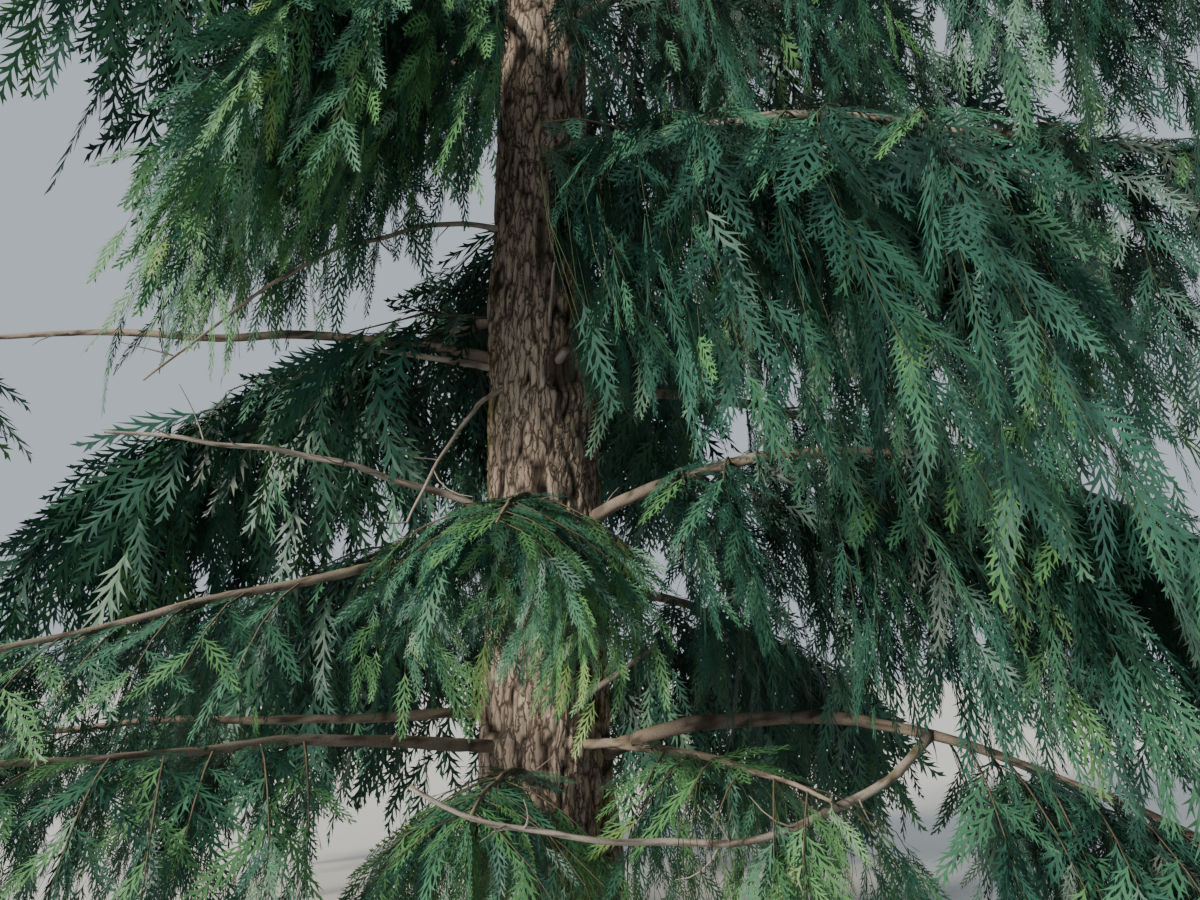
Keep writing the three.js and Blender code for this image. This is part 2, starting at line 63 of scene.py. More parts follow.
# Live boughs. Reach runs across the ground, rise from root to tip, sag and sway bow the middle
# down and to the left, the wood is bare up to `bare`, fan and hang size the foliage. A bough with
# no bare part is the stem of its foliage.
boughColumns = ("height", "azimuth", "reach", "rise", "sag", "sway", "bare", "fan", "hang", "radius")
boughRows = {
    "right_low": (1.15, -24, 2.75, -0.26, -0.33, 0.06, 0.62, 0.9, 0.62, 0.044),
    "right_middle": (2.35, -30, 2.9, -0.3, -0.42, -0.08, 0.13, 1.0, 1.15, 0.036),
    "right_dark": (3.2, 11, 3.5, -0.64, -0.23, 0.09, 0.28, 1.15, 0.9, 0.038),
    "right_upper": (4.5, -24, 3.5, -0.7, -0.26, 0.07, 0.24, 1.15, 1.2, 0.042),
    "right_front": (4.35, -57, 2.5, -0.9, -0.18, -0.06, 0.15, 0.9, 1.25, 0.036),
    "right_top": (5.55, -36, 3.3, -0.75, -0.24, 0.06, 0.22, 1.1, 1.2, 0.04),
    "front_upper": (5.45, -134, 1.6, -0.8, -0.14, 0.06, 0.2, 0.8, 1.4, 0.036),
    "left_upper": (5.15, -160, 1.45, -0.4, -0.16, -0.05, 0.22, 0.85, 1.5, 0.034),
    "left_long": (3.34, 174, 4.15, 0.12, -0.13, 0.07, 0.8, 0.62, 0.62, 0.032),
    "left_middle": (2.27, -153, 3.0, -0.82, -0.06, 0.06, 0.34, 0.95, 0.76, 0.03),
    "left_low": (1.37, -172, 3.1, -0.17, -0.06, -0.05, 0.4, 0.9, 0.62, 0.028),
    "left_front_low": (1.21, -140, 2.5, 0.06, -0.06, 0.05, 0.42, 0.8, 0.64, 0.034),
    "front_middle": (2.42, -98, 1.15, -0.24, -0.09, 0, 0.28, 0.76, 0.56, 0.024),
    "front_low": (1.22, -55, 1.6, -0.1, -0.08, 0, 0.35, 0.76, 0.54, 0.027),
    "front_foot": (1.04, -102, 1.1, 0.02, -0.1, 0, 0.25, 0.88, 0.48, 0.026),
    "back_left": (2.45, 128, 3.5, -0.62, -0.2, 0.08, 0.28, 1.3, 0.95, 0.042),
    "back_right": (2.05, 56, 3.5, -0.48, -0.22, -0.08, 0.28, 1.3, 0.9, 0.042),
    "back_left_upper": (3.65, 156, 2.9, -0.85, -0.2, -0.06, 0, 1.1, 1.0, 0.038),
    "back_upper": (4.5, 84, 3.5, -0.7, -0.24, 0.06, 0, 1.3, 1.15, 0.042),
}
deadColumns = ("height", "azimuth", "reach", "rise", "sag", "sway", "radius", "tipRadius")
deadRows = {
    "dead_left_middle": (2.37, -158, 1.98, 0.3, -0.11, 0.06, 0.023, 0.008),
    "dead_left_arching": (4.12, -153, 1.83, -1.23, -0.26, 0, 0.017, 0.006),
    "dead_left_drooping": (3.15, -143, 0.62, -0.84, -0.15, 0, 0.017, 0.007),
}
archingBranch = {
    "carrier": "right_low", "from": 0.61, "tip": (-0.5, -1.58, 1.19), "sag": 0.34, "sway": 0.14,
    "radius": 0.021, "tipRadius": 0.008,
}
stubColumns = ("height", "azimuth", "length", "rise", "radius", "tipRadius")
stubRows = [
    (3.26, 197, 0.64, 0.03, 0.024, 0.011),
    (3.69, -20, 0.23, 0.09, 0.021, 0.015),
    (3.25, -72, 0.095, 0.025, 0.03, 0.02),
    (3.33, -84, 0.33, 0.42, 0.012, 0.007),
    (1.54, -152, 0.09, -0.76, 0.019, 0.012),
    (1.42, -50, 0.48, 0.28, 0.019, 0.01),
]
crown = {
    "masses": 18, "firstHeight": 6.3, "lastHeight": 20.5, "crowding": 0.92, "firstTurn": 30, "turn": 137.5,
    "baseReach": 4.12, "topHeight": 22.6, "reachPower": 0.8, "heightJitter": 0.25, "azimuthJitter": 14,
    "fullerSide": -15, "lopsided": 0.3,
    "reachJitter": 0.16, "rise": -0.2, "sag": -0.08, "sway": 0.1, "fan": 0.92, "hang": 0.5, "leastHang": 0.78,
    "stemRadius": 0.0135, "leaderHeight": 22.0, "leaderFan": 0.48, "leaderHang": 1.0, "leaderTaper": 0.8,
    "firstSeed": 40, "rootSpread": 0.4,
}
rootDepth = 0.7
tipShare = 0.25
seatGap = 0.0003


def hexColour(code):
    # sRGB hex to linear, channel by channel
    channels = np.array([int(code[i:i + 2], 16) for i in (1, 3, 5)]) / 255
    linear = np.where(channels <= 0.04045, channels / 12.92, ((channels + 0.055) / 1.055) ** 2.4)
    return (*linear.tolist(), 1.0)


def perMetre(millimetres):
    # a texture's scale for a pattern that repeats every so many millimetres
    return 1000 / millimetres


def unit(v):
    # v over its own length
    return v / np.maximum(np.linalg.norm(v, axis=-1, keepdims=True), 1e-9)


def heading(azimuth):
    # the level direction (cos, sin, 0) of an azimuth in degrees
    turn = np.radians(azimuth)
    return np.stack([np.cos(turn), np.sin(turn), np.zeros_like(turn)], axis=-1)


def latticeNoise(x, y, period, seed):
    # smooth value noise: random numbers on whole x and y, blended by 3t^2 - 2t^3; x repeats
    grid = np.random.default_rng(seed).random((period, 256))
    column, row = np.floor(x).astype(int), np.floor(y).astype(int)
    fx, fy = x - column, y - row
    fx, fy = fx * fx * (3 - 2 * fx), fy * fy * (3 - 2 * fy)
    near, far = column % period, (column + 1) % period
    low = grid[near, row % 256] * (1 - fx) + grid[far, row % 256] * fx
    high = grid[near, (row + 1) % 256] * (1 - fx) + grid[far, (row + 1) % 256] * fx
    return low * (1 - fy) + high * fy


def smooth(low, high, value):
    # 0 below low, 1 above high, 3t^2 - 2t^3 between them
    t = np.clip((value - low) / (high - low), 0, 1)
    return t * t * (3 - 2 * t)


# Trunk form

def trunkAxis(z):
    # the middle of the trunk leans to the left by lean (1 - e^(-z / leanFade))
    z = np.asarray(z, float)
    return np.stack([-trunk["lean"] * (1 - np.exp(-z / trunk["leanFade"])), 0 * z, z], axis=-1)


def trunkRadius(z):
    # tip radius + (foot - tip) (1 - z / height)^taperPower + flare e^(-z / flareFade)
    z = np.asarray(z, float)
    left = np.maximum(0, 1 - z / trunk["height"])
    stem = (trunk["footRadius"] - trunk["tipRadius"]) * left ** trunk["taperPower"] + trunk["tipRadius"]
    return stem + trunk["flare"] * np.exp(-z / trunk["flareFade"])


def trunkSkin(z, angle):
    # radius (1 + fluteDepth cos(flutes angle + z / climb)) + root lobes that fade with height
    flutes = 1 + trunk["fluteDepth"] * np.cos(trunk["flutes"] * angle + z / trunk["fluteClimb"])
    lobes = np.exp(-z / trunk["lobeFade"]) * np.cos(trunk["lobes"] * angle + trunk["lobeTurn"])
    return trunkRadius(z) * flutes + trunk["lobeDepth"] * lobes


# Limb paths: a straight line plus 4t(1 - t) times the sway to the left and the sag down, plus
# the slow side steps that a real limb takes.

growth = {
    "straight": 0.004, "wander": 0.0075, "deadWander": 0.013, "waves": (1.3, 2.9, 5.3),
    "waveSizes": (1.0, 0.55, 0.3), "liftShare": 0.6, "liftPace": 0.8,
}


def bowedLine(root, tip, sag, sway, wander, seed):
    # root + (tip - root) t + 4t(1 - t) (left sway - up sag) + three waves, sideways and up
    source = np.random.default_rng(seed)
    phase = source.random((3, 2)) * 2 * np.pi
    ahead = unit((tip - root) * np.array([1, 1, 0]))
    left = np.array([-ahead[1], ahead[0], 0])
    size = np.linalg.norm(tip - root) * wander

    def at(t):
        t = np.asarray(t, float)[..., None]
        bow = 4 * t * (1 - t)
        line = root + (tip - root) * t + left * sway * bow - up * sag * bow
        for wave, share, (one, two) in zip(growth["waves"], growth["waveSizes"], phase):
            turn = 2 * np.pi * wave * t
            line = line + left * size * share * (np.sin(turn + one) - math.sin(one))
            lift = np.sin(turn * growth["liftPace"] + two) - math.sin(two)
            line = line + up * size * share * growth["liftShare"] * lift
        return line

    return at


def limbPath(limb, wander, seed):
    # from inside the trunk, reach outwards and rise upwards
    out = heading(float(limb["azimuth"]))
    root = trunkAxis(limb["height"]) + out * trunkRadius(limb["height"]) * rootDepth
    tip = root + out * limb["reach"] + up * limb["rise"]
    return bowedLine(root, tip, limb["sag"], limb["sway"], wander, seed)


def part(pathAt, low, high):
    # the stretch of a path or a taper between two shares, as t runs from 0 to 1
    return lambda t: pathAt(low + (high - low) * np.asarray(t, float))


def tangentOf(pathAt, t):
    # the way a path runs at t, from the points just before and after it
    t, step = np.asarray(t, float), 0.01
    return unit(pathAt(t + step) - pathAt(t - step))


def dice(seed):
    # the solids' own repeatable numbers, so that the crown's stems stand where theirs do
    full = 0xffffffff
    state = (seed * 2654435761 + 97) & full
    while True:
        state = (state + 0x6d2b79f5) & full
        mixed = ((state ^ (state >> 15)) * (1 | state)) & full
        mixed = ((mixed + (((mixed ^ (mixed >> 7)) * (61 | mixed)) & full)) ^ mixed) & full
        yield ((mixed ^ (mixed >> 14)) & full) / 4294967296


boughs = {name: dict(zip(boughColumns, row)) for name, row in boughRows.items()}
deadLimbs = {name: dict(zip(deadColumns, row)) for name, row in deadRows.items()}
boughPaths = {name: limbPath(limb, growth["wander"], i + 1)
              for i, (name, limb) in enumerate(boughs.items())}


# Materials

def addNode(tree, kind, settings, inputs, output=0):
    # one node with its settings; each input gets a plain value or the socket that feeds it
    node = tree.nodes.new(kind)
    for key, value in settings.items():
        setattr(node, key, value)
    for key, value in inputs.items():
        if isinstance(value, bpy.types.NodeSocket):
            tree.links.new(value, node.inputs[key])
        else:
            node.inputs[key].default_value = value
    return node.outputs[output]


def newMaterial(name, roughness, specular):
    # a plain shader with one roughness and one specular level
    material = bpy.data.materials.new(name)
    material.use_nodes = True
    shader = material.node_tree.nodes["Principled BSDF"]
    shader.inputs["Roughness"].default_value = roughness
    shader.inputs["Specular IOR Level"].default_value = specular
    return material, shader


# Old cedar bark, weathered: grey-brown stringy plates on dark cracks, matt, with moss where it
# stays damp. The near-black of the cracks and furrows is partly the bark's darker inner layer and
# partly painted shade. Widths are in millimetres. Real fibres are about 2 mm wide and the grit is
# finer than 1 mm: both are drawn coarser, so that they show in the render.
barkLook = {
    "plateLight": "#bfb0a1", "plateDark": "#6e6057", "furrowShade": "#1f1915", "moss": "#6c6a33",
    "fibreWidth": 10.526, "fibreStretch": 0.1, "patchWidth": 142.857, "gritWidth": 2.632,
    "crackSpacing": 37.037, "crackStretch": 0.2, "crackWidth": 0.15, "crackShadeShare": 0.85,
    "crackWander": 0.05, "wanderWidth": 50.0, "mossFrom": (0.42, 0.62), "specular": 0.15,
    "fibreFrom": (0.3, 0.7), "toneShare": 0.4, "fibreShare": 0.65, "fibreBump": 0.45, "gritBump": 0.15,
    "plateBump": 0.4, "bump": 0.8, "bumpHeight": 0.009,
}


def barkMaterial(name, look, roughness):
    # Colour: plateDark to plateLight by toneShare tone + fibreShare fibre, then moss where the moss
    # value and the patches meet, then the dark furrow colour, partly the inner bark's own and partly
    # painted shade, in the relief's furrows and in the cracks between plates. Bump: fibreBump fibre +
    # gritBump grit + plateBump plate.
    material, shader = newMaterial(name, roughness, look["specular"])
    tree = material.node_tree
    add, times, less, most = (
        {"operation": kind, "use_clamp": True} for kind in ("ADD", "MULTIPLY", "SUBTRACT", "MAXIMUM")
    )
    mixed = {"data_type": "RGBA"}
    coords = addNode(tree, "ShaderNodeTexCoord", {}, {}, "Object")
    drawnOut = addNode(tree, "ShaderNodeMapping", {}, {
        "Vector": coords, "Scale": (1, 1, look["fibreStretch"])})
    fibre = addNode(tree, "ShaderNodeTexNoise", {}, {
        "Vector": drawnOut, "Scale": perMetre(look["fibreWidth"]), "Detail": 4.0, "Roughness": 0.6})
    patch = addNode(tree, "ShaderNodeTexNoise", {}, {
        "Vector": coords, "Scale": perMetre(look["patchWidth"]), "Detail": 3.0})
    grit = addNode(tree, "ShaderNodeTexNoise", {}, {
        "Vector": coords, "Scale": perMetre(look["gritWidth"]), "Detail": 2.0})
    # plates between cracks: distance to the edge of drawn-out cells whose borders wander
    wander = addNode(tree, "ShaderNodeTexNoise", {}, {
        "Vector": coords, "Scale": perMetre(look["wanderWidth"]), "Detail": 6.0,
        "Roughness": 0.62}, "Color")
    moved = addNode(tree, "ShaderNodeVectorMath", {"operation": "MULTIPLY_ADD"},
                    {0: wander, 1: (look["crackWander"],) * 3, 2: coords})
    cells = addNode(tree, "ShaderNodeMapping", {}, {"Vector": moved, "Scale": (1, 1, look["crackStretch"])})
    edge = addNode(tree, "ShaderNodeTexVoronoi", {"feature": "DISTANCE_TO_EDGE"},
                   {"Vector": cells, "Scale": perMetre(look["crackSpacing"])}, "Distance")
    plate = addNode(tree, "ShaderNodeMapRange", {"interpolation_type": "SMOOTHSTEP"},
                    {"Value": edge, "From Min": 0.0, "From Max": look["crackWidth"]})
    tone, furrowShade, moss = (
        addNode(tree, "ShaderNodeAttribute", {"attribute_name": wanted}, {}, "Fac")
        for wanted in ("tone", "furrowShade", "moss")
    )
    low, high = look["fibreFrom"]
    spread = addNode(tree, "ShaderNodeMapRange", {}, {"Value": fibre, "From Min": low, "From Max": high})
    share = addNode(tree, "ShaderNodeMath", add, {
        0: addNode(tree, "ShaderNodeMath", times, {0: tone, 1: look["toneShare"]}),
        1: addNode(tree, "ShaderNodeMath", times, {0: spread, 1: look["fibreShare"]})})
    colour = addNode(tree, "ShaderNodeMix", mixed, {
        0: share, 6: hexColour(look["plateDark"]), 7: hexColour(look["plateLight"])}, 2)
    low, high = look["mossFrom"]
    green = addNode(tree, "ShaderNodeMapRange", {}, {"Value": patch, "From Min": low, "From Max": high})
    mossy = addNode(tree, "ShaderNodeMath", times, {0: moss, 1: green})
    colour = addNode(tree, "ShaderNodeMix", mixed, {0: mossy, 6: colour, 7: hexColour(look["moss"])}, 2)
    # the cracks between plates and the relief's furrows take the dark furrow colour: partly the inner bark's
    # own colour, partly painted shade
    gap = addNode(tree, "ShaderNodeMath", less, {0: 1.0, 1: plate})
    crackShade = addNode(tree, "ShaderNodeMath", times, {0: gap, 1: look["crackShadeShare"]})
    sunk = addNode(tree, "ShaderNodeMath", most, {0: furrowShade, 1: crackShade})
    colour = addNode(tree, "ShaderNodeMix", mixed, {0: sunk, 6: colour, 7: hexColour(look["furrowShade"])}, 2)
    tree.links.new(colour, shader.inputs["Base Color"])
    rough = addNode(tree, "ShaderNodeMath", add, {
        0: addNode(tree, "ShaderNodeMath", times, {0: fibre, 1: look["fibreBump"]}),
        1: addNode(tree, "ShaderNodeMath", times, {0: grit, 1: look["gritBump"]})})
    height = addNode(tree, "ShaderNodeMath", add, {
        0: rough, 1: addNode(tree, "ShaderNodeMath", times, {0: plate, 1: look["plateBump"]})})
    bump = addNode(tree, "ShaderNodeBump", {}, {
        "Height": height, "Strength": look["bump"], "Distance": look["bumpHeight"]})
    tree.links.new(bump, shader.inputs["Normal"])
    return material


# Thin bark of the live boughs: grey-brown and scaly, green on the upper side near the trunk.
# their furrow colour, as on the trunk, is partly the bark's own dark and partly painted shade in the gaps
# between scales
boughLook = dict(barkLook, plateLight="#9a8f84", plateDark="#655b51", furrowShade="#342d28", crackShadeShare=0.25,
                 crackSpacing=11.111, crackStretch=1.0, fibreWidth=6.25, fibreStretch=0.8, bump=0.4,
                 bumpHeight=0.002)
# Weathered dead wood: silver grey with fine cracks.
# its dark cracks are partly the wood's own colour and partly painted shade
deadLook = dict(boughLook, plateLight="#b5ada5", plateDark="#7d736b", furrowShade="#443a33")

# Scale-leaf sprays: soft satin green, from the darkest green deep in the crown, which is painted
# shade, through blue-green to yellow-green young tips; the palest grey-green is partly the leaves'
# bloom and partly painted sheen. Each frond has one plain colour, a little darker or lighter from
# place to place.
leafTints = (
    # painted shade: the darkest tint, dealt to fronds inside the crown
    ("deepShadeGreen", "#1e3a30"),
    ("blueGreen", "#2d564a"),
    ("midGreen", "#3b6850"),
    ("freshGreen", "#507e4f"),
    ("yellowGreen", "#69874a"),
    # partly the leaves' grey bloom, partly painted sheen on sunlit tips
    ("bloomAndSheenGreen", "#5f8063"),
)
leafLook = {"roughness": 0.5, "specular": 0.35, "patchWidth": 111.111, "darker": 0.62, "lighter": 1.3}


def leafMaterial(name, code):
    # the tint times darker to lighter, by a noise with patches of a hand's width
    material, shader = newMaterial(name, leafLook["roughness"], leafLook["specular"])
    tree = material.node_tree
    coords = addNode(tree, "ShaderNodeTexCoord", {}, {}, "Object")
    shade = addNode(tree, "ShaderNodeTexNoise", {}, {
        "Vector": coords, "Scale": perMetre(leafLook["patchWidth"]), "Detail": 3.0})
    tint = np.array(hexColour(code)[:3])
    darker, lighter = ((*(tint * leafLook[side]).tolist(), 1) for side in ("darker", "lighter"))
    colour = addNode(tree, "ShaderNodeMix", {"data_type": "RGBA"}, {0: shade, 6: darker, 7: lighter}, 2)
    tree.links.new(colour, shader.inputs["Base Color"])
    return material


trunkBark = barkMaterial("cedarBark", barkLook, 0.93)
boughBark = barkMaterial("boughBark", boughLook, 0.9)
deadWood = barkMaterial("weatheredDeadWood", deadLook, 0.92)
leafMaterials = [leafMaterial("scaleLeaf_" + name, code) for name, code in leafTints]
print("materials", len(bpy.data.materials))


# Meshes from arrays

def makePiece(name, points, faces, materials, slots=None, attributes=None, rounded=False):
    # triangles with their materials, a material number for each face and values for each point
    mesh = bpy.data.meshes.new(name)
    mesh.vertices.add(len(points))
    mesh.vertices.foreach_set("co", np.ascontiguousarray(points, np.float32).ravel())
    mesh.loops.add(faces.size)
    mesh.loops.foreach_set("vertex_index", np.ascontiguousarray(faces, np.int32).ravel())
    mesh.polygons.add(len(faces))
    mesh.polygons.foreach_set("loop_start", np.arange(0, faces.size, 3, dtype=np.int32))
    for material in materials:
        mesh.materials.append(material)
    if slots is not None:
        mesh.polygons.foreach_set("material_index", np.ascontiguousarray(slots, np.int32))
    mesh.polygons.foreach_set("use_smooth", np.full(len(faces), rounded))
    mesh.update(calc_edges=True)
    for key, values in (attributes or {}).items():
        layer = mesh.attributes.new(key, "FLOAT", "POINT")
        layer.data.foreach_set("value", np.ascontiguousarray(values, np.float32))
    mesh.validate()
    piece = bpy.data.objects.new(name, mesh)
    bpy.context.scene.collection.objects.link(piece)
    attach(piece, "root")
    return piece


def gridFaces(rows, columns, first=0):
    # two triangles for each square of a grid whose columns close into a ring
    row, column = np.meshgrid(np.arange(rows - 1), np.arange(columns), indexing="ij")
    a = first + row * columns + column
    b = first + row * columns + (column + 1) % columns
    return np.stack([a, b, b + columns, a, b + columns, a + columns], axis=-1).reshape(-1, 3)


def joined(parts):
    # parts are (points, faces, values): the faces are counted on, part after part
    starts = np.cumsum([0] + [len(points) for points, _, _ in parts[:-1]])
    points = np.concatenate([points for points, _, _ in parts])
    faces = np.concatenate([faces + start for (_, faces, _), start in zip(parts, starts)])
    values = np.concatenate([values for _, _, values in parts])
    return points, faces, values


# Trunk with its bark: plates stand out between furrows, and the limbs' roots have collars. Each
# noise has its number of cells round the trunk, its cell height in metres and its depth.

bark = {
    "bandTops": (6.2, 12.0, 21.3), "columns": (192, 96, 48), "rowHeights": (0.027, 0.1, 0.2),
    "ridgeRound": 44, "ridgeHeight": 0.2, "ridgeDepth": 0.014, "plateRound": 78, "plateHeight": 0.09,
    "plateDepth": 0.009, "plateWarp": 1.6, "flakeRound": 120, "flakeHeight": 0.04, "flakeDepth": 0.006,
    "flakeWarp": 3, "warp": 0.7, "warpRound": 17, "warpHeight": 0.14, "fineWarp": 0.35,
    "fineWarpRound": 40, "fineWarpHeight": 0.05, "swell": 0.018, "swellRound": 5, "swellHeight": 0.6,
    "toneRound": 22, "toneHeight": 0.2, "mossRound": 12, "mossHeight": 0.5, "thinning": 0.8,
    "collar": 1.7, "collarRise": 0.75, "collarFlatness": 0.75, "leastRadius": 0.004, "thinnest": 0.05,
    "ridgeEdge": 0.55, "ridgeLevel": 0.6, "plateEdge": 0.4, "furrowEdges": (0.02, 0.26),
    "furrowShadeShare": 0.95, "seamEdge": 0.16, "seamShadeShare": 0.5, "leastTone": 0.1, "toneShare": 0.5,
    "flakeTone": 0.45, "rim": 0.5, "rimAt": 1.1, "rimWidth": 0.35, "scarShade": 0.8,
    "mossFacing": (0.72, 0.98), "mossPatches": (0.25, 0.6),
}
# Marks on the trunk: height, azimuth, half width, depth (a swelling where it is negative) and how
# many times taller than wide. They are the hollow under the broken stick, the knot over it, the
# groove that runs up from the knot, the rib over the left limb, a low hollow and a high rib.
scars = ((3.2, -66, 0.12, 0.045, 1.2), (3.46, -85, 0.1, -0.03, 1.1), (3.95, -91, 0.03, 0.03, 9),
         (3.62, -158, 0.045, -0.032, 8), (1.62, -72, 0.07, 0.02, 1.0), (4.85, -100, 0.05, -0.018, 3))
# Damp sides of the trunk: azimuth and how much moss grows there.
mossSides = ((178, 0.9), (-8, 0.95), (90, 0.55), (-35, 0.5))


def barkNoise(kind, turn, z, seed, aside=0, upwards=0):
    # noise with so many cells round the trunk, each so high, shifted aside and upwards
    cells = bark[kind + "Round"]
    return latticeNoise(turn * cells + aside, z / bark[kind + "Height"] + upwards, cells, seed)


def barkRelief(z, angle):
    # furrows run where a smooth noise, drawn out upright, passes its middle value: long ridges
    # that part and meet again; shorter plates and flakes break them, over a slow swell
    turn = (angle / (2 * np.pi)) % 1
    side = bark["warp"] * (barkNoise("warp", turn, z, 3) - 0.5)
    side = side + bark["fineWarp"] * (barkNoise("fineWarp", turn, z, 4) - 0.5)
    ridge = 2 * np.abs(barkNoise("ridge", turn, z, 5, side) - 0.5)
    plate = 2 * np.abs(barkNoise("plate", turn, z, 6, bark["plateWarp"] * side) - 0.5)
    flake = barkNoise("flake", turn, z, 7, side, bark["flakeWarp"] * side)
    tone = barkNoise("tone", turn, z, 10)
    swell = barkNoise("swell", turn, z, 8) - 0.5
    height = bark["ridgeDepth"] * (smooth(0, bark["ridgeEdge"], ridge) - bark["ridgeLevel"])
    height = height + bark["plateDepth"] * (smooth(0, bark["plateEdge"], plate) - 0.5)
    height = height + bark["flakeDepth"] * (flake - 0.5) + bark["swell"] * swell
    # the furrow value marks the relief's furrows and the seams between plates for the dark furrow colour:
    # partly the inner bark's own colour, partly painted shade
    furrowShade = (1 - smooth(*bark["furrowEdges"], ridge)) * bark["furrowShadeShare"]
    furrowShade = furrowShade + bark["seamShadeShare"] * (1 - smooth(0, bark["seamEdge"], plate))
    tone = bark["leastTone"] + bark["toneShare"] * tone + bark["flakeTone"] * flake
    return height, np.clip(furrowShade, 0, 1), np.clip(tone, 0, 1)


def addCollars(z, angle, height, furrowShade):
    # each limb's root adds radius collarRise e^(-(away / reach)^2); each scar sinks the bark by
    # e^(-away^4) and lifts a rim just outside it
    limbs = [(limb["height"], limb["azimuth"], limb["radius"])
             for limb in (*boughs.values(), *deadLimbs.values())]
    limbs += [(row[0], row[1], row[4]) for row in stubRows]
    for limbHeight, azimuth, radius in limbs:
        across = (angle - math.radians(azimuth) + np.pi) % (2 * np.pi) - np.pi
        away = np.hypot(across * trunkRadius(limbHeight), (z - limbHeight) * bark["collarFlatness"])
        reach = radius * bark["collar"]
        height = height + radius * bark["collarRise"] * np.exp(-(away / reach) ** 2)
    for scarHeight, azimuth, size, sunk, tall in scars:
        across = (angle - math.radians(azimuth) + np.pi) % (2 * np.pi) - np.pi
        away = np.hypot(across * trunkRadius(scarHeight), (z - scarHeight) / tall) / size
        rim = max(sunk, 0) * bark["rim"] * np.exp(-((away - bark["rimAt"]) / bark["rimWidth"]) ** 2)
        height = height - sunk * np.exp(-away ** 4) + rim
        # a sunk scar's hollow takes the dark furrow colour, as painted shade
        furrowShade = np.maximum(furrowShade, bark["scarShade"] * np.exp(-away ** 4) * (sunk > 0))
    return height, furrowShade


def mossOn(z, angle):
    # strength where the bark faces a damp side, times a noise that breaks it into patches
    amount = np.zeros_like(z)
    for azimuth, strength in mossSides:
        turned = np.cos(angle - math.radians(azimuth))
        amount = np.maximum(amount, strength * smooth(*bark["mossFacing"], turned))
    patches = barkNoise("moss", (angle / (2 * np.pi)) % 1, z, 9)
    return amount * smooth(*bark["mossPatches"], patches)


def barkRing(z, columns):
    # axis + (cos, sin) (skin radius + relief), the relief thinner where the trunk is thinner
    angle = np.linspace(0, 2 * np.pi, columns, endpoint=False)[None, :] + 0 * z[:, None]
    z = z[:, None] + 0 * angle
    height, furrowShade, tone = barkRelief(z, angle)
    height, furrowShade = addCollars(z, angle, height, furrowShade)
    thin = np.clip(trunkRadius(z) / trunk["footRadius"], bark["thinnest"], 1) ** bark["thinning"]
    radius = np.maximum(trunkSkin(z, angle) + height * thin, bark["leastRadius"])
    out = np.stack([np.cos(angle), np.sin(angle), 0 * z], axis=-1)
    points = trunkAxis(z) + out * radius[..., None]
    return points.reshape(-1, 3), np.stack([furrowShade, tone, mossOn(z, angle)], axis=-1).reshape(-1, 3)


def trunkMesh():
    # bands of rings from the ground to the tip, each with half the columns of the band below it,
    # a flat foot and a closed tip
    points, values, faces = [], [], []
    count, low = 0, 0.0
    for top, columns, step in zip(bark["bandTops"], bark["columns"], bark["rowHeights"]):
        rows = np.linspace(low, top, round((top - low) / step) + 1)
        if count:        # the finer ring below meets every second point of this one
            rows = rows[1:]
            fine = columns * 2
            j = np.arange(columns)
            lower, upper = count - fine + 2 * j, count + j
            beside, nextLower = lower + 1, count - fine + (2 * j + 2) % fine
            nextUpper = count + (j + 1) % columns
            faces += [np.stack([lower, beside, upper], 1), np.stack([beside, nextLower, nextUpper], 1),
                      np.stack([beside, nextUpper, upper], 1)]
        ring, value = barkRing(rows, columns)
        faces.append(gridFaces(len(rows), columns, count))
        points.append(ring)
        values.append(value)
        count += len(ring)
        low = top
    foot, tip, first, last = count, count + 1, bark["columns"][0], bark["columns"][-1]
    points += [trunkAxis(0.0)[None], trunkAxis(trunk["height"])[None]]
    values += [np.zeros((2, 3))]
    j = np.arange(first)
    faces.append(np.stack([(j + 1) % first, j, 0 * j + foot], 1))
    j = np.arange(last)
    faces.append(np.stack([count - last + j, count - last + (j + 1) % last, 0 * j + tip], 1))
    return np.concatenate(points), np.concatenate(faces), np.concatenate(values)


# Limbs: a ring carried along the path, square to it, with a rough skin and closed ends.

limbForm = {
    "step": 0.042, "sides": 12, "rough": 0.09, "roughRound": 7, "roughLength": 0.05, "knot": 0.16,
    "knotRound": 3, "knotLength": 0.19, "collarLength": 0.05, "collar": 0.5, "mossLength": 1.1,
    "furrowGrain": (0.55, 0.2), "furrowShade": 0.8, "leastTone": 0.3, "knotTone": 0.6, "mossFacing": (0.1, 0.9),
}


